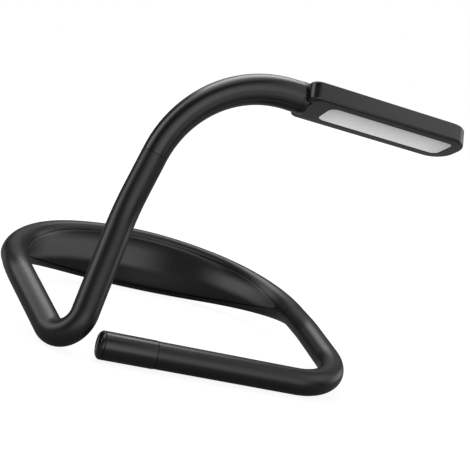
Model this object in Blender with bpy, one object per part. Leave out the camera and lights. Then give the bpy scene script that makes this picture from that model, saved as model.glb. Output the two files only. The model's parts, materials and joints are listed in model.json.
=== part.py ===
"""Flexible reading light for wearing round the neck, with its two arms bent so that it stands on a table.

Every shape is drawn on the line that it follows: the neck band's U, the two bendable arms, the rigid
upper arm and the light head. The whole is then turned until the band and both arms touch the table.
"""

import math

import bmesh
import bpy
import numpy as np
from mathutils import Matrix, Vector

# Sizes are in metres and turns in degrees. A share is a part of the size that its name gives.
GAP = 0.0003
CUT_OVERRUN = 0.001

# Round arms and their cores
TUBE_RADIUS = 0.0070
SLEEVE_BORE = 0.0044
CORE_RADIUS = 0.0041
CORE_BORE = 0.0020
LEAD_RADIUS = 0.0011
FERRULE_RADIUS = 0.0054
FERRULE_LENGTH = 0.0110
FERRULE_BORE = CORE_RADIUS + GAP
SOCKET_RADIUS = FERRULE_RADIUS + GAP
CORE_GRIP = 0.0100

# Neck band: a wide back arc and a tighter arc at each side
BAND_BACK_RADIUS = 0.1245
BAND_BACK_TURN = 22.5
BAND_SIDE_RADIUS = 0.0610
BAND_SIDE_TURN = 69.5
BAND_HEIGHT = 0.0390
BAND_THICKNESS = 0.0120
BAND_DROP_SHARE = 0.37
BAND_SWELL_SHARES = (0.64, 2.0, 0.6)
BAND_WALL = 0.0015
BAND_CAVITY_END_SHARE = 0.62
PAD_HEIGHT = 0.0316
PAD_TIP_SHARE = 0.90
PAD_LAST_SHARE = 0.97
PAD_RIM_THICKNESS = 0.0024
PAD_DISH = 0.0030
PAD_LEDGE = 0.0016
CHANNEL_RADIUS = 0.0022

# Spring strip, cell and board in the band
STRIP_HEIGHT = 0.0080
STRIP_THICKNESS = 0.0006
STRIP_END_SHARE = 0.58
CELL_SIZE = (0.0032, 0.0230, 0.0360)
CELL_EDGE = 0.0008
CELL_PLACE = -0.0140
BOARD_SIZE = (0.0010, 0.0180, 0.0240)
BOARD_PLACE = 0.0240
BOARD_CHIP_SIZE = (0.0008, 0.0050, 0.0050)

# Left arm, from the band's left end to the rigid upper arm
LEFT_ROOT_LENGTH = 0.0090
LEFT_ROOT_ROLL = -44.0
LEFT_ROOT_RADIUS = 0.0380
LEFT_ROOT_TURN = 28.0
LEFT_MIDDLE_LENGTH = 0.0355
LEFT_HAIRPIN_ROLL = 102.5
LEFT_HAIRPIN_RADIUS = 0.0120
LEFT_HAIRPIN_TURN = 128.5
LEFT_RISE_LENGTH = 0.0445
LEFT_CURVE_ROLL = 150.0
LEFT_CURVE_RADIUS = 0.0770
LEFT_CURVE_TURN = 18.0
LEFT_END_LENGTH = 0.0205

# Right arm, from the band's right end to the charging pod
RIGHT_ROOT_LENGTH = 0.0180
RIGHT_ROOT_ROLL = 131.0
RIGHT_ROOT_RADIUS = 0.0420
RIGHT_ROOT_TURN = 12.5
RIGHT_MIDDLE_LENGTH = 0.0245
RIGHT_BEND_ROLL = -128.3
RIGHT_BEND_RADIUS = 0.0265
RIGHT_BEND_TURN = 99.7
RIGHT_FRONT_LENGTH = 0.0760
POD_TO_LEFT_ARM = 0.0045
OPENING_STEP = 0.5

# Rigid upper arm
UPPER_ROLL = 84.0
UPPER_CURVE_RADIUS = 0.0647
UPPER_CURVE_TURN = 76.0
UPPER_END_LENGTH = 0.0101
UPPER_START_RADIUS = 0.0070
UPPER_END_RADIUS = 0.0087
UPPER_WALL = 0.0012
UPPER_COVER_HALF_TURN = 48.0

# Swivel between the upper arm and the head
SWIVEL_GAP = 0.0010
COLLAR_RIM_LENGTH = 0.0035
COLLAR_SPIGOT_LENGTH = 0.0045
COLLAR_FLOOR = 0.0030
COLLAR_EDGE = 0.0008
PIN_RADIUS = 0.0021
PIN_BORE = 0.0015
PIN_HEAD_RADIUS = 0.0042
PIN_HEAD_THICKNESS = 0.0012
PIN_BEYOND_WALL = 0.0022
WAVE_WASHER_THICKNESS = 0.0008
SLIP_WASHER_RADIUS = 0.0042
CLIP_RADIUS = 0.0030
CLIP_THICKNESS = 0.0008
LEAD_IN_HEAD = 0.0056

# Light head
HEAD_ROLL = -16.7
HEAD_LENGTH = 0.0980
HEAD_WIDTH = 0.0305
HEAD_WALL_HEIGHT = 0.0094
HEAD_RISE = 0.0009
HEAD_ARM_CORNER = 0.0050
HEAD_FREE_CORNER = 0.0090
HEAD_NOTCH_DEPTH = 0.0036
HEAD_NOTCH_CLEARANCE = 0.0005
HEAD_WALL = 0.0014
HEAD_CROWN = 0.0006
HEAD_CROWN_SLOPE = 0.0060
HEAD_EDGE = 0.0014
RIM_WIDTH = 0.0057
RIM_ARM_WIDTH = 0.0145
RIM_RISE = 0.0013
RIM_EDGE = 0.0004
BEZEL_LIP = 0.0005
BEZEL_FLANGE = 0.0010
WINDOW_CORNER = 0.0045
ROOM_CORNER = 0.0036
DIFFUSER_RECESS = 0.0004
DIFFUSER_FLANGE = 0.0011
REFLECTOR_HEIGHT = 0.0019
REFLECTOR_RIM = 0.0006
REFLECTOR_SLOPE = 0.0020
LED_BOARD_THICKNESS = 0.0010
LED_SIZE = (0.0007, 0.0028, 0.0035)
LED_ROWS = 2
LEDS_IN_ROW = 9
LED_ROW_PITCH = 0.0070
LED_PITCH = 0.0078

# Buttons on the head's back, counted from its arm end
BUTTON_NAMES = ("power", "colour")
BUTTON_LENGTH = 0.0090
BUTTON_WIDTH = 0.0060
BUTTON_PROUD = 0.0006
BUTTON_FLANGE = 0.0006
BUTTON_FLANGE_THICKNESS = 0.0006
BUTTON_FIRST_PLACE = 0.0180
BUTTON_PITCH = 0.0150
SWITCH_WIDTH = 0.0040
SWITCH_CORNER = 0.0005
SWITCH_HEIGHT = 0.0006
SWITCH_PLUNGER_RADIUS = 0.0011

# Charging pod at the end of the right arm
POD_LENGTH = 0.0262
POD_RADIUS = 0.0072
POD_WALL = 0.0013
POD_SHOULDER_LENGTH = 0.0012
POD_SHOULDER_BORE = 0.0034
POD_EDGE = 0.0004
CAP_LENGTH = 0.0030
CAP_EDGE = 0.0022
CAP_SPIGOT_LENGTH = 0.0040
INLET_WIDTH = 0.0089
INLET_HEIGHT = 0.0032
INLET_WALL = 0.0003
INLET_LENGTH = 0.0073
INLET_FLOOR = 0.0010
INLET_TONGUE = (0.0007, 0.0066)
INLET_TONGUE_SHORT = 0.0010
INLET_SINK = 0.0003
CHARGE_BOARD_SIZE = (0.0010, 0.0100, 0.0066)
CHARGE_LIGHT_RADIUS = 0.0008
CHARGE_LIGHT_PLACE = 0.0038

# Facets
TUBE_SIDES = 16
CORE_SIDES = 8
LEAD_SIDES = 6
ROUND_SIDES = 24
CORNER_STEPS = 4
BAND_STEPS = 30
BAND_SIDES = 24
BAND_END_STEPS = 3
CHANNEL_STEPS = 8
SHELL_STEPS = 22
COVER_STEPS = 8
FRONT_STEPS = 60
PAD_STEPS = 6
DEGREES_A_RING = 10.0
SETTLING_ROUNDS = 30
SMOOTH_ANGLE = 32.0

QUARTER = math.radians(90.0)
HALF_TURN = math.radians(180.0)
FULL_TURN = math.radians(360.0)


# Places along a line. A place is a matrix: Z runs on along the line, and X is the side that it bends to.
def ahead(place, length):
    return place @ Matrix.Translation((0, 0, length))


def rolled(place, degrees):
    return place @ Matrix.Rotation(math.radians(degrees), 4, "Z")


def bent(place, radius, angle):
    step = Matrix.Translation((radius * (1 - math.cos(angle)), 0, radius * math.sin(angle)))
    return place @ step @ Matrix.Rotation(angle, 4, "Y")


def flipped(place):
    return place @ Matrix.Rotation(HALF_TURN, 4, "X")


def straight_run(place, length):
    return [place, ahead(place, length)]


def bend_run(place, radius, degrees):
    """The places round a bend, its start and its end included."""
    count = max(2, round(degrees / DEGREES_A_RING))
    angles = [math.radians(degrees) * step / count for step in range(count + 1)]
    return [bent(place, radius, angle) for angle in angles]


def joined_runs(*runs):
    places = []
    for run in runs:
        places += run if not places else run[1:]
    return places


def trimmed(places, start_cut, end_cut):
    """The run with its first and last places moved inwards along the line."""
    return [ahead(places[0], start_cut), *places[1:-1], ahead(places[-1], -end_cut)]


def untwisted(places):
    """The same line with its X carried straight on, so that a tube's rings do not twist."""
    kept = [places[0]]
    for place in places[1:]:
        along = place.col[2].xyz
        side = kept[-1].col[0].xyz
        side = (side - along * side.dot(along)).normalized()
        across = along.cross(side)
        turn = Matrix((side, across, along)).transposed().to_4x4()
        kept.append(Matrix.Translation(place.translation) @ turn)
    return kept


# The neck band's line. Share 0 is the middle of the back, 1 the right end and -1 the left end.
BAND_MIDDLE = Matrix(((0, 0, 1, 0), (-1, 0, 0, 0), (0, -1, 0, 0), (0, 0, 0, 1)))
BACK_LENGTH = BAND_BACK_RADIUS * math.radians(BAND_BACK_TURN)
SIDE_LENGTH = BAND_SIDE_RADIUS * math.radians(BAND_SIDE_TURN)
HALF_BAND_LENGTH = BACK_LENGTH + SIDE_LENGTH


def band_place(share):
    """X looks at the neck, Y down and Z to the right."""
    left = share < 0
    along = abs(share) * HALF_BAND_LENGTH
    place = flipped(BAND_MIDDLE) if left else BAND_MIDDLE
    place = bent(place, BAND_BACK_RADIUS, min(along, BACK_LENGTH) / BAND_BACK_RADIUS)
    if along > BACK_LENGTH:
        place = bent(place, BAND_SIDE_RADIUS, (along - BACK_LENGTH) / BAND_SIDE_RADIUS)
    return flipped(place) if left else place


def band_run(first_share, last_share, steps):
    shares = np.linspace(first_share, last_share, steps + 1)
    return [(share, band_place(share)) for share in shares]


def band_swell(share):
    """1 at the middle of the back, falling to 0 where the band meets the arms."""
    return max(0.0, math.cos(QUARTER * share) ** 2) ** BAND_SWELL_SHARES[0]


def band_half_height(share):
    return TUBE_RADIUS + (BAND_HEIGHT / 2 - TUBE_RADIUS) * band_swell(share)


def band_half_depth(share):
    return TUBE_RADIUS + (BAND_THICKNESS / 2 - TUBE_RADIUS) * band_swell(share)


def band_drop(share):
    return BAND_DROP_SHARE * (band_half_height(share) - TUBE_RADIUS)


def band_roundness(share):
    return BAND_SWELL_SHARES[1] + BAND_SWELL_SHARES[2] * band_swell(share)


def band_face(share, height):
    """How far the band's surface lies from its middle line, at a height from that line."""
    power = band_roundness(share)
    reach = min(1.0, abs(height) / band_half_height(share))
    return band_half_depth(share) * (1 - reach**power) ** (1 / power)


def pad_half_height(share):
    return PAD_HEIGHT / 2 * (1 - (share / PAD_TIP_SHARE) ** 2)


def pad_seat(share):
    return band_face(share, pad_half_height(share)) - PAD_RIM_THICKNESS


# Bodies made of rings
def new_mesh(name, build):
    mesh = bpy.data.meshes.new(name)
    shape = bmesh.new()
    build(shape)
    bmesh.ops.recalc_face_normals(shape, faces=shape.faces)
    shape.to_mesh(mesh)
    shape.free()
    return mesh


def loft(name, rings, round_again=False):
    """A body through rings of points. It is capped at both ends, or joins its last ring to its first."""

    def build(shape):
        rows = [[shape.verts.new(point) for point in ring] for ring in rings]
        following_rows = rows[1:] + rows[:1] if round_again else rows[1:]
        for row, following in zip(rows, following_rows):
            for here in range(len(row)):
                there = (here + 1) % len(row)
                shape.faces.new((row[here], row[there], following[there], following[here]))
        if not round_again:
            shape.faces.new(rows[0])
            shape.faces.new(rows[-1])

    return new_mesh(name, build)


def circle(radius, sides):
    angles = [FULL_TURN * side / sides for side in range(sides)]
    return [(radius * math.cos(angle), radius * math.sin(angle)) for angle in angles]


def rounded_rectangle(width, length, radius, steps=CORNER_STEPS, far_radius=None):
    """Corner points round the origin. The far end's two corners may have a radius of their own."""
    points = []
    corners = ((1, 1), (-1, 1), (-1, -1), (1, -1))
    for corner, (across, along) in enumerate(corners):
        rounding = far_radius if far_radius and along > 0 else radius
        for step in range(steps + 1):
            angle = QUARTER * (corner + step / steps)
            x = across * (width / 2 - rounding) + rounding * math.cos(angle)
            points.append((x, along * (length / 2 - rounding) + rounding * math.sin(angle)))
    return points


def moved_along(outline, length):
    return [(across, along + length) for across, along in outline]


def ring_at(place, outline):
    return [place @ Vector((x, y, 0)) for x, y in outline]


def solid_tube(name, places, radius, sides):
    return loft(name, [ring_at(place, circle(radius, sides)) for place in untwisted(places)])


def open_tube(name, places, radius, bore, sides):
    outside = [ring_at(place, circle(radius, sides)) for place in untwisted(places)]
    inside = [ring_at(place, circle(bore, sides)) for place in untwisted(places)]
    return loft(name, outside + inside[::-1], round_again=True)


def turned(name, place, profile, bored=True):
    """A body turned about the line: the profile lists (radius, distance along the line)."""
    rings = [ring_at(ahead(place, along), circle(radius, ROUND_SIDES)) for radius, along in profile]
    return loft(name, rings, round_again=bored)


def stepped(name, place, rows):
    """A body of outlines square to the line. Each row is (outline, distance along the line)."""
    return loft(name, [ring_at(ahead(place, along), outline) for outline, along in rows])


def stacked(name, place, rows, round_again=False):
    """A body of outlines stacked along a place's X. Each row is (height, outline in Y and Z)."""
    rings = [[place @ Vector((height, y, z)) for y, z in outline] for height, outline in rows]
    return loft(name, rings, round_again)


def block(name, place, size):
    thickness, width, length = size
    outline = rounded_rectangle(width, length, 0, 1)[::2]
    return stacked(name, place, [(-thickness / 2, outline), (thickness / 2, outline)])


# Materials
def material(name, colour, roughness, metallic=0.0, glow=0.0):
    made = bpy.data.materials.new(name)
    made.use_nodes = True
    shader = made.node_tree.nodes["Principled BSDF"]
    shader.inputs["Base Color"].default_value = (*colour, 1.0)
    shader.inputs["Roughness"].default_value = roughness
    shader.inputs["Metallic"].default_value = metallic
    shader.inputs["Emission Color"].default_value = (*colour, 1.0)
    shader.inputs["Emission Strength"].default_value = glow
    made.diffuse_color = (*colour, 1.0)
    return made


def make_materials():
    return {
        "silicone": material("black_silicone", (0.025, 0.025, 0.027), 0.55),
        "casing": material("black_casing", (0.020, 0.020, 0.022), 0.32),
        "pad": material("soft_pad", (0.030, 0.030, 0.032), 0.62),
        "diffuser": material("milky_diffuser", (0.86, 0.87, 0.88), 0.38, glow=0.1),
        "white": material("white_reflector", (0.90, 0.90, 0.90), 0.30),
        "steel": material("bright_steel", (0.62, 0.62, 0.64), 0.28, metallic=1.0),
        "spring": material("spring_steel", (0.40, 0.42, 0.46), 0.35, metallic=1.0),
        "board": material("circuit_board", (0.03, 0.14, 0.06), 0.45),
        "cell": material("cell_foil", (0.55, 0.56, 0.60), 0.35, metallic=0.8),
        "lead": material("lead_jacket", (0.45, 0.03, 0.03), 0.50),
        "switch": material("switch_body", (0.05, 0.05, 0.05), 0.45),
        "washer": material("slip_washer", (0.78, 0.76, 0.70), 0.50),
    }


# Assembly
class Assembly:
    """The bodies that move, each an empty on its joint, and the pieces that ride on them."""

    def __init__(self, materials):
        self.materials = materials
        self.places = {}
        self.empties = {}

    def body(self, name, place, carrier=None):
        empty = bpy.data.objects.new(name + "_joint", None)
        bpy.context.scene.collection.objects.link(empty)
        self.places[name] = place
        self.empties[name] = empty
        if carrier:
            empty.parent = self.empties[carrier]
            empty.matrix_basis = self.places[carrier].inverted() @ place
        return empty

    def piece(self, name, body, mesh, look):
        """The mesh comes in the drawing's coordinates and is carried by the body's empty."""
        mesh.transform(self.places[body].inverted())
        mesh.materials.append(self.materials[look])
        mesh.shade_smooth()
        mesh.set_sharp_from_angle(angle=math.radians(SMOOTH_ANGLE))
        obj = bpy.data.objects.new(name, mesh)
        bpy.context.scene.collection.objects.link(obj)
        obj.parent = self.empties[body]
        return obj

    def cut(self, obj, body, mesh, operation="DIFFERENCE"):
        """Cuts the mesh out of the piece, or joins it on."""
        mesh.transform(self.places[body].inverted())
        tool = bpy.data.objects.new(mesh.name, mesh)
        bpy.context.scene.collection.objects.link(tool)
        tool.parent = self.empties[body]
        tool.hide_render = True
        tool.hide_viewport = True
        tool.display_type = "WIRE"
        modifier = obj.modifiers.new(mesh.name, "BOOLEAN")
        modifier.operation = operation
        modifier.object = tool


# Neck band
def band_outline(share):
    power = band_roundness(share)
    points = []
    for side in range(BAND_SIDES):
        angle = FULL_TURN * side / BAND_SIDES
        across = math.copysign(abs(math.cos(angle)) ** (2 / power), math.cos(angle))
        upward = math.copysign(abs(math.sin(angle)) ** (2 / power), math.sin(angle))
        x = band_half_depth(share) * across
        points.append((x, band_drop(share) + band_half_height(share) * upward))
    return points


def pad_ring(share, place, clearance, reach):
    """The pad's section: flat at its seat, dished towards the neck. A cutter reaches on beyond it."""
    half = pad_half_height(share) + clearance
    seat = pad_seat(share) - clearance
    drop = band_drop(share)
    heights = [half * (2 * step / PAD_STEPS - 1) for step in range(PAD_STEPS + 1)]
    points = [Vector((seat, drop + height, 0)) for height in heights]
    for height in reversed(heights):
        dish = PAD_DISH * (1 - (height / half) ** 2) * pad_half_height(share) / (PAD_HEIGHT / 2)
        face = band_half_depth(share) if reach else band_face(share, height) - dish
        points.append(Vector((face + reach, drop + height, 0)))
    return [place @ point for point in points]


def pad_mesh(name, clearance=0.0, reach=0.0):
    end = PAD_TIP_SHARE * PAD_LAST_SHARE + clearance / HALF_BAND_LENGTH
    run = band_run(-end, end, BAND_STEPS)
    return loft(name, [pad_ring(share, place, clearance, reach) for share, place in run])


def cavity_mesh():
    def ring(share, place):
        half = pad_half_height(share) - PAD_LEDGE
        floor = -band_half_depth(share) + BAND_WALL
        top = pad_seat(share) + CUT_OVERRUN
        drop = band_drop(share)
        corners = ((floor, -half), (top, -half), (top, half), (floor, half))
        return [place @ Vector((x, drop + y, 0)) for x, y in corners]

    run = band_run(-BAND_CAVITY_END_SHARE, BAND_CAVITY_END_SHARE, BAND_STEPS)
    return loft("band_cavity", [ring(share, place) for share, place in run])


def band_end_run(side, length, steps=BAND_END_STEPS):
    """Places from a depth inside the band out to its end, Z pointing out of the band."""
    shares = [1 - length * (1 - step / steps) / HALF_BAND_LENGTH for step in range(steps + 1)]
    places = [band_place(side * share) for share in shares]
    return places if side > 0 else [flipped(place) for place in places]


def make_ferrule(parts, name, body, places):
    mesh = open_tube(name, places, FERRULE_RADIUS, FERRULE_BORE, TUBE_SIDES)
    parts.piece(name, body, mesh, "steel")


def make_band(parts):
    run = band_run(-1.0, 1.0, BAND_STEPS)
    rings = [ring_at(place, band_outline(share)) for share, place in run]
    shell = parts.piece("band_shell", "band", loft("band_shell", rings), "silicone")
    parts.cut(shell, "band", pad_mesh("pad_recess", GAP, CUT_OVERRUN))
    parts.cut(shell, "band", cavity_mesh())
    channel_length = (1 - BAND_CAVITY_END_SHARE) * HALF_BAND_LENGTH + CUT_OVERRUN
    for side, word in ((-1, "left"), (1, "right")):
        socket = band_end_run(side, FERRULE_LENGTH + GAP)
        socket.append(ahead(socket[-1], CUT_OVERRUN))
        parts.cut(shell, "band", solid_tube(word + "_socket", socket, SOCKET_RADIUS, TUBE_SIDES))
        channel = band_end_run(side, channel_length, CHANNEL_STEPS)
        parts.cut(shell, "band", solid_tube(word + "_channel", channel, CHANNEL_RADIUS, CORE_SIDES))
        make_ferrule(parts, word + "_band_ferrule", "band", band_end_run(side, FERRULE_LENGTH))
    parts.piece("neck_pad", "band", pad_mesh("neck_pad"), "pad")


def strip_back(share):
    return -band_half_depth(share) + BAND_WALL + GAP


def make_spring_strip(parts):
    def ring(share, place):
        back = strip_back(share)
        drop = band_drop(share)
        half = STRIP_HEIGHT / 2
        front = back + STRIP_THICKNESS
        corners = ((back, -half), (front, -half), (front, half), (back, half))
        return [place @ Vector((x, drop + y, 0)) for x, y in corners]

    run = band_run(-STRIP_END_SHARE, STRIP_END_SHARE, BAND_STEPS)
    mesh = loft("spring_strip", [ring(share, place) for share, place in run])
    parts.piece("spring_strip", "band", mesh, "spring")


def flat_piece_place(along, thickness, length):
    """Where a flat piece lies against the strip: its ends clear the strip's curve."""
    share = along / HALF_BAND_LENGTH
    inner_radius = BAND_BACK_RADIUS - strip_back(0) - STRIP_THICKNESS
    bow = inner_radius - math.sqrt(inner_radius**2 - (length / 2) ** 2)
    x = strip_back(share) + STRIP_THICKNESS + bow + GAP + thickness / 2
    return band_place(share) @ Matrix.Translation((x, band_drop(share), 0))


def make_cell_and_board(parts):
    thickness, width, length = CELL_SIZE
    place = flat_piece_place(CELL_PLACE, thickness, length)
    inner = rounded_rectangle(width - 2 * CELL_EDGE, length - 2 * CELL_EDGE, CELL_EDGE)
    outer = rounded_rectangle(width, length, 2 * CELL_EDGE)
    half = thickness / 2
    rows = [(-half, inner), (-half + CELL_EDGE, outer), (half - CELL_EDGE, outer), (half, inner)]
    parts.piece("battery_cell", "band", stacked("battery_cell", place, rows), "cell")
    thickness, width, length = BOARD_SIZE
    place = flat_piece_place(BOARD_PLACE, thickness, length)
    board = block("control_board", place, BOARD_SIZE)
    board = parts.piece("control_board", "band", board, "board")
    rise = (thickness + BOARD_CHIP_SIZE[0]) / 2 - GAP
    chip = block("control_chip", place @ Matrix.Translation((rise, 0, 0)), BOARD_CHIP_SIZE)
    parts.cut(board, "band", chip, "UNION")


# Bendable arms
def arm_start(start, length, roll, radius, degrees):
    """The stretch next to the band: straight, then a bend."""
    elbow = ahead(start, length)
    return joined_runs([start, elbow], bend_run(rolled(elbow, roll), radius, degrees))


def left_runs():
    """The left arm's four stretches, from the band to the upper arm."""
    start = flipped(band_place(-1.0))
    root = arm_start(start, LEFT_ROOT_LENGTH, LEFT_ROOT_ROLL, LEFT_ROOT_RADIUS, LEFT_ROOT_TURN)
    middle = straight_run(root[-1], LEFT_MIDDLE_LENGTH)
    hairpin = bend_run(rolled(middle[-1], LEFT_HAIRPIN_ROLL), LEFT_HAIRPIN_RADIUS, LEFT_HAIRPIN_TURN)
    rise = straight_run(hairpin[-1], LEFT_RISE_LENGTH)
    curve = bend_run(rolled(rise[-1], LEFT_CURVE_ROLL), LEFT_CURVE_RADIUS, LEFT_CURVE_TURN)
    top = joined_runs(rise, curve, straight_run(curve[-1], LEFT_END_LENGTH))
    return {"root": root, "middle": middle, "hairpin": hairpin, "top": top}


def right_runs(bend_turn):
    """The right arm's four stretches, from the band to the charging pod."""
    start = band_place(1.0)
    root = arm_start(start, RIGHT_ROOT_LENGTH, RIGHT_ROOT_ROLL, RIGHT_ROOT_RADIUS, RIGHT_ROOT_TURN)
    middle = straight_run(root[-1], RIGHT_MIDDLE_LENGTH)
    bend = bend_run(rolled(middle[-1], RIGHT_BEND_ROLL), RIGHT_BEND_RADIUS, bend_turn)
    front = straight_run(bend[-1], RIGHT_FRONT_LENGTH)
    return {"root": root, "middle": middle, "bend": bend, "front": front}


def shortest_way(points, line):
    """From any of the points to the line through the places."""
    ways = []
    for place, following in zip(line, line[1:]):
        start = place.translation
        along = following.translation - start
        for point in points:
            share = (point - start).dot(along) / along.length_squared
            ways.append((start + along * min(1.0, max(0.0, share)) - point).length)
    return min(ways)


def clear_bend_turn(left_line):
    """How far the right arm bends: no further than where its end just clears the left arm."""
    turn = RIGHT_BEND_TURN
    length = RIGHT_FRONT_LENGTH + CAP_END - POD_RADIUS
    clear_way = TUBE_RADIUS + POD_RADIUS + POD_TO_LEFT_ARM
    while turn > OPENING_STEP:
        bend_end = right_runs(turn)["bend"][-1]
        front = [ahead(bend_end, length * step / FRONT_STEPS) for step in range(FRONT_STEPS + 1)]
        if shortest_way([place.translation for place in front], left_line) > clear_way:
            break
        turn -= OPENING_STEP
    return turn


def bend_middle(place, roll, radius, degrees):
    """The joint of a bend: halfway round it, with its axis along Y."""
    return bent(rolled(place, roll), radius, math.radians(degrees) / 2)


def upper_curve(left, length):
    """The upper arm's line from its seam, as far as the length says."""
    start = rolled(left["top"][-1], UPPER_ROLL)
    return bend_run(start, UPPER_CURVE_RADIUS, math.degrees(length / UPPER_CURVE_RADIUS))


def upper_run(left):
    curve = upper_curve(left, UPPER_CURVE_RADIUS * math.radians(UPPER_CURVE_TURN))
    return joined_runs(curve, straight_run(curve[-1], UPPER_END_LENGTH))


def make_arm(parts, word, runs, bodies, inside_start, inside_end):
    """Sleeve and core stretches. The core's two ends reach on into the sockets."""
    names = list(runs)
    for name, body in zip(names, bodies):
        places = runs[name]
        end_gap = GAP if name == names[-1] else 0
        core = trimmed(places, GAP, 0)
        if name == names[0]:
            core = joined_runs(inside_start, places)
        if name == names[-1]:
            core = joined_runs(core, inside_end)
        title = word + "_sleeve_" + name
        sleeve = trimmed(places, GAP, end_gap)
        mesh = open_tube(title, sleeve, TUBE_RADIUS, SLEEVE_BORE, TUBE_SIDES)
        parts.piece(title, body, mesh, "silicone")
        title = word + "_gooseneck_" + name
        mesh = open_tube(title, core, CORE_RADIUS, CORE_BORE, CORE_SIDES)
        parts.piece(title, body, mesh, "spring")


def make_lead(parts, name, body, places):
    parts.piece(name, body, solid_tube(name, places, LEAD_RADIUS, LEAD_SIDES), "lead")


# Rigid upper arm
def upper_radius(share):
    return UPPER_START_RADIUS + (UPPER_END_RADIUS - UPPER_START_RADIUS) * share


def part_ring(place, radius, first, last, steps):
    """A ring's wall from one angle to another, with half a gap left off at both."""
    spare = GAP / 2 / radius
    angles = np.linspace(first + spare, last - spare, steps + 1)
    inner = radius - UPPER_WALL
    outside = [(radius * math.cos(angle), radius * math.sin(angle)) for angle in angles]
    inside = [(inner * math.cos(angle), inner * math.sin(angle)) for angle in angles[::-1]]
    return ring_at(place, outside + inside)


def make_upper_arm(parts, places):
    cover_angle = math.radians(UPPER_COVER_HALF_TURN)
    curved = UPPER_CURVE_RADIUS * math.radians(UPPER_CURVE_TURN)
    length = curved + UPPER_END_LENGTH
    shares = [curved / length * step / (len(places) - 2) for step in range(len(places) - 1)] + [1.0]
    places = trimmed(places, 0, COLLAR_RIM_LENGTH + GAP)
    pieces = (
        ("upper_arm_shell", cover_angle, FULL_TURN - cover_angle, SHELL_STEPS),
        ("upper_arm_cover", -cover_angle, cover_angle, COVER_STEPS),
    )
    for name, first, last, steps in pieces:
        rings = [
            part_ring(place, upper_radius(share), first, last, steps)
            for place, share in zip(places, shares)
        ]
        parts.piece(name, "upper_arm", loft(name, rings), "casing")


def make_swivel(parts, arm_end):
    """The upper arm ends in a collar. A hollow pin, fixed to the head, turns in it."""
    rim = UPPER_END_RADIUS
    spigot = rim - UPPER_WALL - GAP
    back = -COLLAR_RIM_LENGTH - COLLAR_SPIGOT_LENGTH
    bore = PIN_RADIUS + GAP
    room = PIN_HEAD_RADIUS + GAP
    profile = [
        (bore, -COLLAR_FLOOR),
        (bore, 0),
        (rim - COLLAR_EDGE, 0),
        (rim, -COLLAR_EDGE),
        (rim, -COLLAR_RIM_LENGTH),
        (spigot, -COLLAR_RIM_LENGTH),
        (spigot, back),
        (room, back),
        (room, -COLLAR_FLOOR),
    ]
    parts.piece("arm_end_collar", "upper_arm", turned("arm_end_collar", arm_end, profile), "casing")
    washer_front = -COLLAR_FLOOR - GAP
    washer_back = washer_front - WAVE_WASHER_THICKNESS
    make_washer(parts, "wave_washer", arm_end, PIN_HEAD_RADIUS, washer_back, washer_front, "spring")
    head_front = washer_back - GAP
    head_back = head_front - PIN_HEAD_THICKNESS
    pin_end = SWIVEL_GAP + HEAD_WALL + PIN_BEYOND_WALL
    profile = [
        (PIN_BORE, head_back),
        (PIN_HEAD_RADIUS, head_back),
        (PIN_HEAD_RADIUS, head_front),
        (PIN_RADIUS, head_front),
        (PIN_RADIUS, pin_end),
        (PIN_BORE, pin_end),
    ]
    parts.piece("swivel_pin", "head", turned("swivel_pin", arm_end, profile), "steel")
    slip_front = SWIVEL_GAP - GAP
    make_washer(parts, "slip_washer", arm_end, SLIP_WASHER_RADIUS, GAP, slip_front, "washer")
    clip_back = SWIVEL_GAP + HEAD_WALL + GAP
    clip_front = clip_back + CLIP_THICKNESS
    make_washer(parts, "pin_clip", arm_end, CLIP_RADIUS, clip_back, clip_front, "spring")


def make_washer(parts, name, place, radius, back, front, look):
    bore = PIN_RADIUS + GAP
    profile = [(bore, back), (radius, back), (radius, front), (bore, front)]
    parts.piece(name, "head", turned(name, place, profile), look)


# Light head. Its X is the way that it shines, and heights are counted along X from its middle.
HEAD_HALF = HEAD_WALL_HEIGHT / 2
CEILING = -HEAD_HALF - HEAD_CROWN + HEAD_WALL
BEZEL_BACK = HEAD_HALF - BEZEL_LIP
DIFFUSER_BACK = BEZEL_BACK - GAP - DIFFUSER_FLANGE
REFLECTOR_FRONT = DIFFUSER_BACK - GAP
REFLECTOR_BACK = REFLECTOR_FRONT - REFLECTOR_HEIGHT
LED_BOARD_FRONT = REFLECTOR_BACK - GAP
LED_BOARD_BACK = LED_BOARD_FRONT - LED_BOARD_THICKNESS
WINDOW_PLACE = (RIM_ARM_WIDTH - RIM_WIDTH) / 2


def head_outline(inset):
    arm_corner = max(HEAD_ARM_CORNER - inset, WINDOW_CORNER)
    free_corner = max(HEAD_FREE_CORNER - inset, WINDOW_CORNER)
    width = HEAD_WIDTH - 2 * inset
    return rounded_rectangle(width, HEAD_LENGTH - 2 * inset, arm_corner, far_radius=free_corner)


def room_outline(clearance):
    """The room inside the walls. It starts beyond the notch for the arm's end."""
    inset = HEAD_WALL + clearance
    length = HEAD_LENGTH - HEAD_NOTCH_DEPTH - 2 * inset
    free_corner = HEAD_FREE_CORNER - inset
    outline = rounded_rectangle(HEAD_WIDTH - 2 * inset, length, ROOM_CORNER, far_radius=free_corner)
    return moved_along(outline, HEAD_NOTCH_DEPTH / 2)


def window_outline(growth):
    """The window's outline, let out by a growth on every side."""
    width = HEAD_WIDTH - 2 * RIM_WIDTH + 2 * growth
    length = HEAD_LENGTH - RIM_WIDTH - RIM_ARM_WIDTH + 2 * growth
    outline = rounded_rectangle(width, length, WINDOW_CORNER + growth)
    return moved_along(outline, WINDOW_PLACE)


def head_place(arm_end, along):
    """A place in the middle of the head's height, at a distance from the arm's end."""
    return rolled(arm_end, HEAD_ROLL) @ Matrix.Translation((-HEAD_RISE, 0, along))


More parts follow.
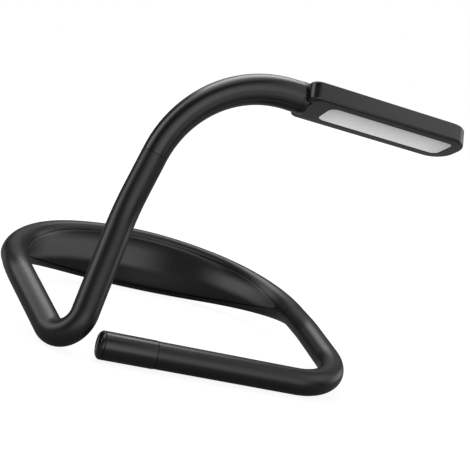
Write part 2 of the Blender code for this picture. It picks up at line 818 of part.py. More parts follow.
def rounded_edge():
    """The edge between the head's back and its walls, as (height, inset)."""
    points = []
    for step in range(CORNER_STEPS + 1):
        angle = QUARTER * step / CORNER_STEPS
        height = -HEAD_HALF + HEAD_EDGE * (1 - math.cos(angle))
        points.append((height, HEAD_EDGE * (1 - math.sin(angle))))
    return points


def cut_notch(parts, piece, arm_end):
    """The head's end reaches a little way past the arm's end on both sides, round a notch."""
    start = ahead(arm_end, SWIVEL_GAP - HEAD_NOTCH_DEPTH - CUT_OVERRUN)
    notch = straight_run(start, HEAD_NOTCH_DEPTH + CUT_OVERRUN)
    radius = UPPER_END_RADIUS + HEAD_NOTCH_CLEARANCE
    parts.cut(piece, "head", solid_tube("arm_notch", notch, radius, ROUND_SIDES))


def make_housing(parts, middle, arm_end):
    back = ((-HEAD_HALF - HEAD_CROWN, HEAD_CROWN_SLOPE), *rounded_edge(), (HEAD_HALF, 0))
    rows = [(height, head_outline(inset)) for height, inset in back]
    rows += [(HEAD_HALF, room_outline(0)), (CEILING, room_outline(0))]
    housing = parts.piece("head_housing", "head", stacked("head_housing", middle, rows), "casing")
    cut_notch(parts, housing, arm_end)
    start = ahead(arm_end, SWIVEL_GAP - CUT_OVERRUN)
    hole = straight_run(start, HEAD_WALL + 2 * CUT_OVERRUN)
    parts.cut(housing, "head", solid_tube("pin_hole", hole, PIN_RADIUS + GAP, ROUND_SIDES))
    for number in range(len(BUTTON_NAMES)):
        place = button_place(arm_end, number)
        outline = button_outline(GAP)
        heights = (-HEAD_HALF - HEAD_CROWN - CUT_OVERRUN, CEILING + CUT_OVERRUN)
        hole = stacked("button_hole_%d" % number, place, [(height, outline) for height in heights])
        parts.cut(housing, "head", hole)


def make_bezel(parts, middle, arm_end):
    rows = [
        (HEAD_HALF + GAP, head_outline(RIM_EDGE / 2)),
        (HEAD_HALF + GAP + RIM_EDGE / 2, head_outline(RIM_EDGE)),
        (HEAD_HALF + RIM_RISE, window_outline(0)),
        (BEZEL_BACK, window_outline(0)),
        (BEZEL_BACK, room_outline(GAP)),
        (HEAD_HALF + GAP, room_outline(GAP)),
    ]
    mesh = stacked("head_bezel", middle, rows, round_again=True)
    bezel = parts.piece("head_bezel", "head", mesh, "casing")
    cut_notch(parts, bezel, arm_end)


def make_diffuser(parts, middle):
    shoulder = DIFFUSER_BACK + DIFFUSER_FLANGE
    front = HEAD_HALF + RIM_RISE - DIFFUSER_RECESS
    rows = [
        (DIFFUSER_BACK, window_outline(BEZEL_FLANGE)),
        (shoulder, window_outline(BEZEL_FLANGE)),
        (shoulder, window_outline(-GAP)),
        (front, window_outline(-GAP)),
    ]
    parts.piece("diffuser", "head", stacked("diffuser", middle, rows), "diffuser")


def make_reflector(parts, middle):
    rows = [
        (REFLECTOR_BACK, window_outline(BEZEL_FLANGE)),
        (REFLECTOR_FRONT, window_outline(BEZEL_FLANGE)),
        (REFLECTOR_FRONT, window_outline(-REFLECTOR_RIM)),
        (REFLECTOR_BACK, window_outline(-REFLECTOR_RIM - REFLECTOR_SLOPE)),
    ]
    mesh = stacked("reflector_frame", middle, rows, round_again=True)
    parts.piece("reflector_frame", "head", mesh, "white")


def make_led_board(parts, middle):
    outline = window_outline(BEZEL_FLANGE)
    rows = [(LED_BOARD_BACK, outline), (LED_BOARD_FRONT, outline)]
    board = parts.piece("led_board", "head", stacked("led_board", middle, rows), "board")
    chips = bmesh.new()
    height = LED_BOARD_FRONT + LED_SIZE[0] / 2 - GAP
    for row in range(LED_ROWS):
        across = (row - (LED_ROWS - 1) / 2) * LED_ROW_PITCH
        for number in range(LEDS_IN_ROW):
            along = WINDOW_PLACE + (number - (LEDS_IN_ROW - 1) / 2) * LED_PITCH
            place = middle @ Matrix.Translation((height, across, along))
            chip = block("led", place, LED_SIZE)
            chips.from_mesh(chip)
            bpy.data.meshes.remove(chip)
    mesh = bpy.data.meshes.new("leds")
    chips.to_mesh(mesh)
    chips.free()
    parts.cut(board, "head", mesh, "UNION")


def button_place(arm_end, number):
    return head_place(arm_end, SWIVEL_GAP + BUTTON_FIRST_PLACE + BUTTON_PITCH * number)


def button_outline(growth):
    width = BUTTON_WIDTH + 2 * growth
    return rounded_rectangle(width, BUTTON_LENGTH + 2 * growth, width / 2)


def make_button(parts, name, place):
    top = -HEAD_HALF - HEAD_CROWN - BUTTON_PROUD
    flange_top = CEILING + GAP
    flange_bottom = flange_top + BUTTON_FLANGE_THICKNESS
    cap = button_outline(0)
    flange = button_outline(BUTTON_FLANGE)
    rows = [
        (top, button_outline(-BUTTON_PROUD / 2)),
        (top + BUTTON_PROUD / 2, cap),
        (flange_top, cap),
        (flange_top, flange),
        (flange_bottom, flange),
    ]
    parts.piece(name + "_button", name + "_button", stacked(name + "_button", place, rows), "pad")
    back = LED_BOARD_BACK - GAP
    shoulder = back - SWITCH_HEIGHT
    square = rounded_rectangle(SWITCH_WIDTH, SWITCH_WIDTH, SWITCH_CORNER)
    plunger = rounded_rectangle(
        2 * SWITCH_PLUNGER_RADIUS, 2 * SWITCH_PLUNGER_RADIUS, SWITCH_PLUNGER_RADIUS
    )
    tip = shoulder - SWITCH_HEIGHT / 2
    rows = [(back, square), (shoulder, square), (shoulder, plunger), (tip, plunger)]
    parts.piece(name + "_switch", "head", stacked(name + "_switch", place, rows), "switch")


# Charging pod. Distances are counted along the pod from the arm's end.
SOCKET_FLOOR = FERRULE_LENGTH + 2 * GAP
POD_ROOM_START = SOCKET_FLOOR + POD_SHOULDER_LENGTH
POD_ROOM_RADIUS = POD_RADIUS - POD_WALL
CAP_START = POD_LENGTH + GAP
CAP_END = CAP_START + CAP_LENGTH


def make_pod_shell(parts, place):
    profile = [
        (SOCKET_RADIUS, 0),
        (POD_RADIUS - POD_EDGE, 0),
        (POD_RADIUS, POD_EDGE),
        (POD_RADIUS, POD_LENGTH),
        (POD_ROOM_RADIUS, POD_LENGTH),
        (POD_ROOM_RADIUS, POD_ROOM_START),
        (POD_SHOULDER_BORE, POD_ROOM_START),
        (POD_SHOULDER_BORE, SOCKET_FLOOR),
        (SOCKET_RADIUS, SOCKET_FLOOR),
    ]
    parts.piece("pod_shell", "pod", turned("pod_shell", place, profile), "casing")


def oval(width, height):
    return rounded_rectangle(height, width, height / 2)


def make_end_cap(parts, place):
    spigot = POD_ROOM_RADIUS - GAP
    profile = [(spigot, CAP_START - CAP_SPIGOT_LENGTH), (spigot, CAP_START), (POD_RADIUS, CAP_START)]
    for step in range(CORNER_STEPS + 1):
        angle = QUARTER * step / CORNER_STEPS
        radius = POD_RADIUS - CAP_EDGE * (1 - math.cos(angle))
        profile.append((radius, CAP_END - CAP_EDGE * (1 - math.sin(angle))))
    cap = parts.piece("end_cap", "pod", turned("end_cap", place, profile, bored=False), "casing")
    ends = (CAP_START - CAP_SPIGOT_LENGTH - CUT_OVERRUN, CAP_END + CUT_OVERRUN)
    slot = oval(INLET_WIDTH + 2 * GAP, INLET_HEIGHT + 2 * GAP)
    parts.cut(cap, "pod", stepped("inlet_slot", place, [(slot, along) for along in ends]))
    hole = circle(CHARGE_LIGHT_RADIUS + GAP, CORE_SIDES)
    light = place @ Matrix.Translation((CHARGE_LIGHT_PLACE, 0, 0))
    parts.cut(cap, "pod", stepped("light_hole", light, [(hole, along) for along in ends]))


def make_inlet(parts, place):
    front = CAP_END - INLET_SINK
    back = front - INLET_LENGTH
    outside = oval(INLET_WIDTH, INLET_HEIGHT)
    inside = oval(INLET_WIDTH - 2 * INLET_WALL, INLET_HEIGHT - 2 * INLET_WALL)
    tongue = oval(INLET_TONGUE[1], INLET_TONGUE[0])
    rows = [
        (outside, back),
        (outside, front),
        (inside, front),
        (inside, back + INLET_FLOOR),
        (tongue, back + INLET_FLOOR),
        (tongue, front - INLET_TONGUE_SHORT),
    ]
    parts.piece("charge_inlet", "pod", stepped("charge_inlet", place, rows), "steel")
    light = place @ Matrix.Translation((CHARGE_LIGHT_PLACE, 0, 0))
    ends = (CAP_START - CAP_SPIGOT_LENGTH, CAP_END)
    rod = circle(CHARGE_LIGHT_RADIUS, CORE_SIDES)
    rows = [(rod, along) for along in ends]
    parts.piece("charge_light", "pod", stepped("charge_light", light, rows), "diffuser")


def make_pod(parts, place):
    make_pod_shell(parts, place)
    make_end_cap(parts, place)
    make_inlet(parts, place)
    middle = ahead(place, POD_ROOM_START + GAP + CHARGE_BOARD_SIZE[2] / 2)
    board = block("charge_board", middle, CHARGE_BOARD_SIZE)
    parts.piece("charge_board", "pod", board, "board")


# Standing on the table
def balls(places, radius):
    return [(place.translation, radius) for place in places]


def resting_balls(left, right):
    """What may touch the table, in three groups of (centre, radius): the band and the two arms."""
    run = band_run(-1.0, 1.0, BAND_STEPS)
    rings = [ring_at(place, band_outline(share)) for share, place in run]
    band = [(point, 0.0) for ring in rings for point in ring]
    pod = right["front"][-1]
    left_arm = balls(joined_runs(*left.values()), TUBE_RADIUS)
    right_arm = balls(joined_runs(*right.values()), TUBE_RADIUS)
    return band, left_arm, right_arm + balls([pod, ahead(pod, POD_LENGTH)], POD_RADIUS)


def standing_turn(groups):
    """The turn that puts one ball of each group on the table, and lets the band open forwards."""
    up = Vector((0, 0, 1))
    turn = Matrix.Identity(3)
    for _ in range(SETTLING_ROUNDS):
        lows = []
        for group in groups:
            bottoms = [turn @ centre - up * radius for centre, radius in group]
            lows.append(min(bottoms, key=lambda bottom: bottom.z))
        normal = (lows[1] - lows[0]).cross(lows[2] - lows[0]).normalized()
        normal = normal if normal.z > 0 else -normal
        turn = normal.rotation_difference(up).to_matrix() @ turn
    opening = turn @ BAND_MIDDLE.col[0].xyz
    sideways = math.atan2(opening.x, -opening.y)
    return Matrix.Rotation(-sideways, 3, "Z") @ turn


def stand_up(parts, turn):
    """Turns the whole, then moves the origin to the bottom of its box, in the middle."""
    root = parts.empties["band"]
    root.matrix_world = turn.to_4x4()
    bpy.context.view_layer.update()
    graph = bpy.context.evaluated_depsgraph_get()
    corners = []
    for obj in bpy.context.scene.objects:
        if obj.type == "MESH" and not obj.hide_render:
            mesh = obj.evaluated_get(graph).to_mesh()
            points = np.empty(len(mesh.vertices) * 3, np.float32)
            mesh.vertices.foreach_get("co", points)
            world = np.array(obj.matrix_world)
            points = points.reshape(-1, 3) @ world[:3, :3].T + world[:3, 3]
            corners += [points.min(axis=0), points.max(axis=0)]
    low = np.min(corners, axis=0)
    high = np.max(corners, axis=0)
    root.location = (-(low[0] + high[0]) / 2, -(low[1] + high[1]) / 2, -low[2])


# The whole light
def make_bodies(parts, left, right, bend_turn, arm_end):
    """Every moving body on its joint: a bend turns about Y, the head about Z, a button slides along X."""
    parts.body("band", Matrix.Identity(4))
    elbow = ahead(left["root"][0], LEFT_ROOT_LENGTH)
    joint = bend_middle(elbow, LEFT_ROOT_ROLL, LEFT_ROOT_RADIUS, LEFT_ROOT_TURN)
    parts.body("left_arm", joint, "band")
    elbow = left["middle"][-1]
    joint = bend_middle(elbow, LEFT_HAIRPIN_ROLL, LEFT_HAIRPIN_RADIUS, LEFT_HAIRPIN_TURN)
    parts.body("upper_arm", joint, "left_arm")
    parts.body("head", rolled(arm_end, HEAD_ROLL), "upper_arm")
    for number, name in enumerate(BUTTON_NAMES):
        parts.body(name + "_button", button_place(arm_end, number), "head")
    elbow = ahead(right["root"][0], RIGHT_ROOT_LENGTH)
    joint = bend_middle(elbow, RIGHT_ROOT_ROLL, RIGHT_ROOT_RADIUS, RIGHT_ROOT_TURN)
    parts.body("right_arm", joint, "band")
    elbow = right["middle"][-1]
    joint = bend_middle(elbow, RIGHT_BEND_ROLL, RIGHT_BEND_RADIUS, bend_turn)
    parts.body("pod", joint, "right_arm")


def make_arms(parts, left, right, pod_place):
    bodies = ("band", "left_arm", "left_arm", "upper_arm")
    inside_start = band_end_run(-1, CORE_GRIP)
    make_arm(parts, "left", left, bodies, inside_start, upper_curve(left, CORE_GRIP))
    make_ferrule(parts, "upper_ferrule", "upper_arm", upper_curve(left, FERRULE_LENGTH))
    bodies = ("band", "right_arm", "right_arm", "pod")
    inside_start = band_end_run(1, CORE_GRIP)
    make_arm(parts, "right", right, bodies, inside_start, straight_run(pod_place, CORE_GRIP))
    ferrule = straight_run(ahead(pod_place, GAP), FERRULE_LENGTH)
    make_ferrule(parts, "pod_ferrule", "pod", ferrule)


def make_leads(parts, left, right, upper):
    into_cavity = (1 - BAND_CAVITY_END_SHARE) * HALF_BAND_LENGTH
    start = band_end_run(-1, into_cavity, CHANNEL_STEPS)
    end = straight_run(upper[-1], LEAD_IN_HEAD)
    make_lead(parts, "light_lead", "left_arm", joined_runs(start, *left.values(), upper, end))
    start = band_end_run(1, into_cavity, CHANNEL_STEPS)
    end = straight_run(right["front"][-1], POD_ROOM_START)
    make_lead(parts, "charge_lead", "right_arm", joined_runs(start, *right.values(), end))


def make_head(parts, arm_end):
    middle = head_place(arm_end, SWIVEL_GAP - HEAD_NOTCH_DEPTH + HEAD_LENGTH / 2)
    make_housing(parts, middle, arm_end)
    make_bezel(parts, middle, arm_end)
    make_diffuser(parts, middle)
    make_reflector(parts, middle)
    make_led_board(parts, middle)
    for number, name in enumerate(BUTTON_NAMES):
        make_button(parts, name, button_place(arm_end, number))


def make_light():
    parts = Assembly(make_materials())
    left = left_runs()
    bend_turn = clear_bend_turn(joined_runs(*left.values()))
    right = right_runs(bend_turn)
    upper = upper_run(left)
    pod_place = right["front"][-1]
    make_bodies(parts, left, right, bend_turn, upper[-1])
    make_band(parts)
    make_spring_strip(parts)
    make_cell_and_board(parts)
    make_arms(parts, left, right, pod_place)
    make_leads(parts, left, right, upper)
    make_upper_arm(parts, upper)
    make_swivel(parts, upper[-1])
    make_head(parts, upper[-1])
    make_pod(parts, pod_place)
    stand_up(parts, standing_turn(resting_balls(left, right)))


def main():
    for obj in list(bpy.data.objects):
        bpy.data.objects.remove(obj, do_unlink=True)
    make_light()


main()
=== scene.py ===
import json
import math

import bmesh
import bpy
import numpy as np
from mathutils import Matrix, Vector


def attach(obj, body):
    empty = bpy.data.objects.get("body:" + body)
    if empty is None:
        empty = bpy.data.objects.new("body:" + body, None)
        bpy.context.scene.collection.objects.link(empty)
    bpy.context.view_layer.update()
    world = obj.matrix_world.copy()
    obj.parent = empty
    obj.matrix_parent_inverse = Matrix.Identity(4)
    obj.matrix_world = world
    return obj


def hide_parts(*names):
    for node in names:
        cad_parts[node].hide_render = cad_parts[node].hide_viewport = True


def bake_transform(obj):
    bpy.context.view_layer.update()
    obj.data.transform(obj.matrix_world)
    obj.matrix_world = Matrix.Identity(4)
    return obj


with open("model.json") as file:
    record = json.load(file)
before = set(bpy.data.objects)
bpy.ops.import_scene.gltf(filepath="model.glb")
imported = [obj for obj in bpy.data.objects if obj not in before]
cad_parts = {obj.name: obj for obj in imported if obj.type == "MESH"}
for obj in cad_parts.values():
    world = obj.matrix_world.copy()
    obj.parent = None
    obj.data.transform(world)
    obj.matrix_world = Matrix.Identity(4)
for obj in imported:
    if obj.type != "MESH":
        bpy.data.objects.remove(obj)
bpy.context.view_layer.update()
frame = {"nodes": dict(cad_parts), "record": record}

# Sizes are in metres and turns in degrees. They are those of the light's solids, but for the head's longer and
# rounder free end, the pod's rounder cap, the lining's fading dish and the seams.
GAP = 0.0003
TUBE_RADIUS = 0.0070
SLEEVE_BORE = 0.0044
SLEEVE_SEAM = 0.0003
COIL_RADIUS = 0.0035
WIRE_RADIUS = 0.00055
COIL_PITCH = 0.00125
LEAD_RADIUS = 0.0011
CORE_GRIP = 0.0100

BAND_BACK_RADIUS = 0.1245
BAND_BACK_TURN = 22.5
BAND_SIDE_RADIUS = 0.0610
BAND_SIDE_TURN = 69.5
BAND_HEIGHT = 0.0390
BAND_THICKNESS = 0.0120
BAND_DROP_SHARE = 0.37
# How sharply the band swells, the power of its section at its ends, and what that gains in the middle
BAND_SWELL_SHARES = (0.64, 2.0, 0.6)
BAND_CAVITY_END_SHARE = 0.62
PAD_HEIGHT = 0.0316
PAD_TIP_SHARE = 0.90
PAD_LAST_SHARE = 0.97
PAD_RIM_THICKNESS = 0.0024
PAD_DISH = 0.0030
PAD_DISH_END_SHARE = 0.50
PAD_ROLL = 0.0006
PAD_ROLL_START = 0.93
PAD_FADE_SHARE = 0.03
PAD_LEAST_RECESS = 0.0004
PAD_SEAM = 0.00030
# The lining's two zones of painted sheen, paler tones that stand in for the soft light on its inner face:
# where each swells and sinks again along the band, and up it
PAINTED_SHEEN_ZONES = (
    ((-0.080, -0.062, -0.008, 0.024), (-0.0110, -0.0065, 0.0010, 0.0100)),
    ((0.034, 0.058, 0.062, 0.084), (-0.0080, -0.0030, 0.0000, 0.0060)),
)

# An arm's root is its straight length, then its bend. A bend is its roll, its radius and its turn.
LEFT_ROOT = (0.0090, -44.0, 0.0380, 28.0)
LEFT_MIDDLE_LENGTH = 0.0355
LEFT_HAIRPIN = (102.5, 0.0120, 128.5)
LEFT_RISE_LENGTH = 0.0445
LEFT_CURVE = (150.0, 0.0770, 18.0)
LEFT_END_LENGTH = 0.0205

RIGHT_ROOT = (0.0180, 131.0, 0.0420, 12.5)
RIGHT_MIDDLE_LENGTH = 0.0245
RIGHT_BEND = (-128.3, 0.0265, 99.7)
RIGHT_FRONT_LENGTH = 0.0760

UPPER_ROLL = 84.0
UPPER_CURVE_RADIUS = 0.0647
UPPER_CURVE_TURN = 76.0
UPPER_END_LENGTH = 0.0101
UPPER_START_RADIUS = 0.0070
UPPER_END_RADIUS = 0.0087
UPPER_WALL = 0.0012
UPPER_COVER_HALF_TURN = 48.0
SEAM_WIDTH = 0.00022
SEAM_ROUND = 0.00012

SWIVEL_GAP = 0.0010
COLLAR_RIM_LENGTH = 0.0035
COLLAR_SPIGOT_LENGTH = 0.0045
COLLAR_FLOOR = 0.0030
COLLAR_EDGE = 0.0008
PIN_RADIUS = 0.0021
PIN_HEAD_ROOM = 0.0045
LEAD_IN_HEAD = 0.0056

HEAD_ROLL = -16.7
HEAD_LENGTH = 0.0998
HEAD_WIDTH = 0.0305
HEAD_WALL_HEIGHT = 0.0094
HEAD_RISE = 0.0009
HEAD_HALF = HEAD_WALL_HEIGHT / 2
HEAD_ARM_CORNER = 0.0050
HEAD_FREE_CORNER = 0.0125
HEAD_NOTCH_DEPTH = 0.0036
HEAD_NOTCH_CLEARANCE = 0.0005
HEAD_WALL = 0.0014
HEAD_CROWN = 0.0006
HEAD_CROWN_SLOPE = 0.0060
HEAD_CROWN_RINGS = (0.0040, 0.0020)
HEAD_CROWN_SHARES = (0.2, 0.4, 0.6, 0.8)
HEAD_EDGE = 0.0014
HEAD_LEAST_CORNER = 0.0010
RIM_WIDTH = 0.0057
RIM_ARM_WIDTH = 0.0145
RIM_FREE_WIDTH = 0.0075
WINDOW_PLACE = (RIM_ARM_WIDTH - RIM_FREE_WIDTH) / 2
RIM_RISE = 0.0013
RIM_EDGE = 0.0010
RIM_EDGE_SHARE = 0.8
RIM_RINGS = (0.25, 0.50, 0.75, 0.94)
RIM_SEAM = 0.00006
WINDOW_CORNER = 0.0045
WINDOW_EDGE = 0.0001
WINDOW_SEAM = 0.00015
WINDOW_HALF_WIDTH = HEAD_WIDTH / 2 - RIM_WIDTH
WINDOW_HALF_LENGTH = (HEAD_LENGTH - RIM_FREE_WIDTH - RIM_ARM_WIDTH) / 2
ROOM_CORNER = 0.0036
BEZEL_LIP = 0.0005
BEZEL_FLANGE = 0.0010
DIFFUSER_RECESS = 0.0004
DIFFUSER_FLANGE = 0.0011
DIFFUSER_EDGE = 0.0002
DIFFUSER_FACE_RING = 0.0040
CEILING = -HEAD_HALF - HEAD_CROWN + HEAD_WALL
BEZEL_BACK = HEAD_HALF - BEZEL_LIP
DIFFUSER_BACK = BEZEL_BACK - GAP - DIFFUSER_FLANGE

BUTTON_NAMES = ("power", "colour")
BUTTON_LENGTH = 0.0090
BUTTON_WIDTH = 0.0060
BUTTON_PROUD = 0.0006
BUTTON_FLANGE = 0.0006
BUTTON_FIRST_PLACE = 0.0180
BUTTON_PITCH = 0.0150
BUTTON_EDGE = 0.0004
# The button's dished top: how far each ring stands below its brim, and how much it grows
BUTTON_TOP = ((0.00015, -0.0024), (0.0001, -0.0018), (0.0, -0.0010))
DOT_RADIUS = 0.00045
DOT_PITCH = 0.0022
DOT_SINK = 0.0003
DOT_RISE = 0.0002

POD_LENGTH = 0.0262
POD_RADIUS = 0.0072
POD_WALL = 0.0013
POD_EDGE = 0.00015
POD_CHAMFER = 0.0002
SOCKET_RADIUS = 0.0057
SOCKET_FLOOR = 0.0116
SHOULDER_END = 0.0128
SHOULDER_BORE = 0.0034
CAP_LENGTH = 0.0030
CAP_EDGE_ACROSS = 0.0040
CAP_EDGE_ALONG = 0.0028
CAP_SEAM = 0.00012
CAP_SPIGOT_LENGTH = 0.0040
CAP_START = POD_LENGTH + GAP
CAP_END = CAP_START + CAP_LENGTH
INLET_WIDTH = 0.0089
INLET_HEIGHT = 0.0032
INLET_WALL = 0.0003
INLET_LENGTH = 0.0073
INLET_SINK = 0.0003
INLET_EDGE = 0.0001
INLET_FLOOR = 0.0010
TONGUE_THICKNESS = 0.0007
TONGUE_WIDTH = 0.0066
TONGUE_SHORT = 0.0010
TONGUE_ROOT = 0.0008
CONTACT_SIZE = (0.00006, 0.00026, 0.0040)
CONTACT_PITCH = 0.0005
CONTACT_SINK = 0.000025
CONTACTS_A_SIDE = 12
LIGHT_RADIUS = 0.0008
LIGHT_PLACE = 0.0038
LIGHT_SINK = 0.0002
LIGHT_RISE = 0.0003

# Facets
TUBE_SIDES = 48
ROUND_SIDES = 72
LEAD_SIDES = 12
COIL_STEPS = 12
WIRE_SIDES = 6
DOT_SIDES = 16
LIGHT_SIDES = 24
ARC_STEPS = 6
CORNER_STEPS = 10
CAP_STEPS = 12
DOME_STEPS = 5
DOME_SHARE = 0.9
BAND_STEPS = 120
BAND_FACE_POINTS = 33
BAND_SIDE_POINTS = 13
SEAT_POINTS = 9
CASING_STEPS = 52
COVER_STEPS = 20
GRIP_STEPS = 6
CAVITY_STEPS = 16
RIM_EDGE_POINTS = 6
DEGREES_A_RING = 3.0
STRETCH_LENGTH = 0.0020
MERGE_DISTANCE = 1e-7
CUT_PAST = 0.0010

# Turns past which an edge is shaded sharp
EDGE_TURN = 35.0
HOUSING_EDGE_TURN = 40.0
RIM_EDGE_TURN = 28.0
BAND_EDGE_TURN = 50.0
TUBE_EDGE_TURN = 60.0

QUARTER = math.radians(90.0)
HALF_TURN = math.radians(180.0)
FULL_TURN = math.radians(360.0)


# Places along a line. A place is a matrix: Z runs on along the line, and X is the side that it bends to.
def ahead(place, length):
    return place @ Matrix.Translation((0, 0, length))


def rolled(place, degrees):
    return place @ Matrix.Rotation(math.radians(degrees), 4, "Z")


def bent(place, radius, angle):
    step = Matrix.Translation((radius * (1 - math.cos(angle)), 0, radius * math.sin(angle)))
    return place @ step @ Matrix.Rotation(angle, 4, "Y")


def flipped(place):
    return place @ Matrix.Rotation(HALF_TURN, 4, "X")


def straight_run(place, length):
    return [place, ahead(place, length)]


def bend_run(place, radius, degrees):
    count = max(2, round(degrees / DEGREES_A_RING))
    angles = [math.radians(degrees) * step / count for step in range(count + 1)]
    return [bent(place, radius, angle) for angle in angles]


def joined_runs(*runs):
    places = []
    for run in runs:
        places += run if not places else run[1:]
    return places


# How the light stands: the place of its drawing on the table
STANCE = Matrix((
    (0.999494, 0.0, 0.031814, -0.022465),
    (0.000978, 0.999528, -0.030712, 0.073993),
    (-0.031798, 0.030727, 0.999022, 0.024250),
    (0, 0, 0, 1),
))
BAND_MIDDLE = STANCE @ Matrix(((0, 0, 1, 0), (-1, 0, 0, 0), (0, -1, 0, 0), (0, 0, 0, 1)))
BACK_LENGTH = BAND_BACK_RADIUS * math.radians(BAND_BACK_TURN)
SIDE_LENGTH = BAND_SIDE_RADIUS * math.radians(BAND_SIDE_TURN)
HALF_BAND_LENGTH = BACK_LENGTH + SIDE_LENGTH


def band_place(share):
    """X looks at the neck, Y down and Z to the right. Share 0 is the band's middle, 1 its right end."""
    left = share < 0
    along = abs(share) * HALF_BAND_LENGTH
    place = flipped(BAND_MIDDLE) if left else BAND_MIDDLE
    place = bent(place, BAND_BACK_RADIUS, min(along, BACK_LENGTH) / BAND_BACK_RADIUS)
    if along > BACK_LENGTH:
        place = bent(place, BAND_SIDE_RADIUS, (along - BACK_LENGTH) / BAND_SIDE_RADIUS)
    return flipped(place) if left else place


def band_swell(share):
    return max(0.0, math.cos(QUARTER * share) ** 2) ** BAND_SWELL_SHARES[0]


def band_half_height(share):
    return TUBE_RADIUS + (BAND_HEIGHT / 2 - TUBE_RADIUS) * band_swell(share)


def band_half_depth(share):
    return TUBE_RADIUS + (BAND_THICKNESS / 2 - TUBE_RADIUS) * band_swell(share)


def band_drop(share):
    return BAND_DROP_SHARE * (band_half_height(share) - TUBE_RADIUS)


def band_face(share, height):
    power = BAND_SWELL_SHARES[1] + BAND_SWELL_SHARES[2] * band_swell(share)
    reach = min(1.0, abs(height) / band_half_height(share))
    return band_half_depth(share) * (1 - reach**power) ** (1 / power)


def pad_half_height(share):
    return PAD_HEIGHT / 2 * (1 - (share / PAD_TIP_SHARE) ** 2)


def band_end_run(side, length, steps=GRIP_STEPS):
    shares = [1 - length * (1 - step / steps) / HALF_BAND_LENGTH for step in range(steps + 1)]
    places = [band_place(side * share) for share in shares]
    return places if side > 0 else [flipped(place) for place in places]


def arm_start(start, length, roll, radius, degrees):
    elbow = ahead(start, length)
    return joined_runs([start, elbow], bend_run(rolled(elbow, roll), radius, degrees))


def rolled_bend(place, roll, radius, degrees):
    return bend_run(rolled(place, roll), radius, degrees)


# The two arms' stretches
left_root = arm_start(flipped(band_place(-1.0)), *LEFT_ROOT)
left_middle = ahead(left_root[-1], LEFT_MIDDLE_LENGTH / 2)
left_elbow = ahead(left_root[-1], LEFT_MIDDLE_LENGTH)
left_hairpin = rolled_bend(left_elbow, *LEFT_HAIRPIN)
left_rise = ahead(left_hairpin[-1], LEFT_RISE_LENGTH)
left_curve = rolled_bend(left_rise, *LEFT_CURVE)
left_end = straight_run(left_curve[-1], LEFT_END_LENGTH)
left_top = joined_runs([left_hairpin[-1], left_rise], left_curve, left_end)

right_root = arm_start(band_place(1.0), *RIGHT_ROOT)
right_middle = ahead(right_root[-1], RIGHT_MIDDLE_LENGTH / 2)
right_elbow = ahead(right_root[-1], RIGHT_MIDDLE_LENGTH)
right_bend = rolled_bend(right_elbow, *RIGHT_BEND)
pod_place = ahead(right_bend[-1], RIGHT_FRONT_LENGTH)

upper_start = rolled(left_top[-1], UPPER_ROLL)
upper_bend = bend_run(upper_start, UPPER_CURVE_RADIUS, UPPER_CURVE_TURN)
arm_end = ahead(upper_bend[-1], UPPER_END_LENGTH)
head_place = rolled(arm_end, HEAD_ROLL) @ Matrix.Translation((-HEAD_RISE, 0, SWIVEL_GAP))
head_middle = ahead(head_place, HEAD_LENGTH / 2 - HEAD_NOTCH_DEPTH)


# Shapes
def new_object(name, mesh):
    obj = bpy.data.objects.new(name, mesh)
    bpy.context.scene.collection.objects.link(obj)
    return obj


def loft(name, rings, round_again=False):
    """A body through rings of points, capped at both ends, or joined from its last ring to its first."""
    shape = bmesh.new()
    rows = [[shape.verts.new(point) for point in ring] for ring in rings]
    following_rows = rows[1:] + rows[:1] if round_again else rows[1:]
    for row, following in zip(rows, following_rows):
        for here in range(len(row)):
            there = (here + 1) % len(row)
            shape.faces.new((row[here], row[there], following[there], following[here]))
    if not round_again:
        shape.faces.new(rows[0])
        shape.faces.new(rows[-1])
    bmesh.ops.remove_doubles(shape, verts=shape.verts, dist=MERGE_DISTANCE)
    bmesh.ops.recalc_face_normals(shape, faces=shape.faces)
    mesh = bpy.data.meshes.new(name)
    shape.to_mesh(mesh)
    shape.free()
    return new_object(name, mesh)


def circle(radius, sides=ROUND_SIDES):
    angles = [FULL_TURN * side / sides for side in range(sides)]
    return [(radius * math.cos(angle), radius * math.sin(angle)) for angle in angles]


def rounded_rectangle(width, length, radius, steps=CORNER_STEPS, far_radius=None):
    points = []
    for corner, (across, along) in enumerate(((1, 1), (-1, 1), (-1, -1), (1, -1))):
        rounding = far_radius if far_radius and along > 0 else radius
        for step in range(steps + 1):
            angle = QUARTER * (corner + step / steps)
            x = across * (width / 2 - rounding) + rounding * math.cos(angle)
            points.append((x, along * (length / 2 - rounding) + rounding * math.sin(angle)))
    return points


def moved_along(outline, length):
    return [(across, along + length) for across, along in outline]


def ring_at(place, outline):
    return [place @ Vector((x, y, 0)) for x, y in outline]


def turned(name, place, profile, bored=True):
    rings = [ring_at(ahead(place, along), circle(radius)) for radius, along in profile]
    return loft(name, rings, round_again=bored)


def stepped(name, place, rows, round_again=False):
    return loft(name, [ring_at(ahead(place, along), outline) for outline, along in rows], round_again)


def stacked(name, place, rows, round_again=False):
    rings = [[place @ Vector((height, y, z)) for y, z in outline] for height, outline in rows]
    return loft(name, rings, round_again)


def arc(centre_x, centre_y, radius, first, last, steps=ARC_STEPS):
    """Points of an arc in a profile, from one angle in degrees to another."""
    angles = np.radians(np.linspace(first, last, steps + 1))
    return [(centre_x + radius * math.cos(angle), centre_y + radius * math.sin(angle)) for angle in angles]


def dome(radius, start, rise):
    """Rings of a rounded end, as radii and places along."""
    angles = np.linspace(0, QUARTER * DOME_SHARE, DOME_STEPS)[1:]
    return [(radius * math.cos(angle), start + rise * math.sin(angle)) for angle in angles]


def joined(name, objects):
    """One object of several, which have no modifiers."""
    shape = bmesh.new()
    for obj in objects:
        shape.from_mesh(obj.data)
        bpy.data.objects.remove(obj, do_unlink=True)
    mesh = bpy.data.meshes.new(name)
    shape.to_mesh(mesh)
    shape.free()
    return new_object(name, mesh)


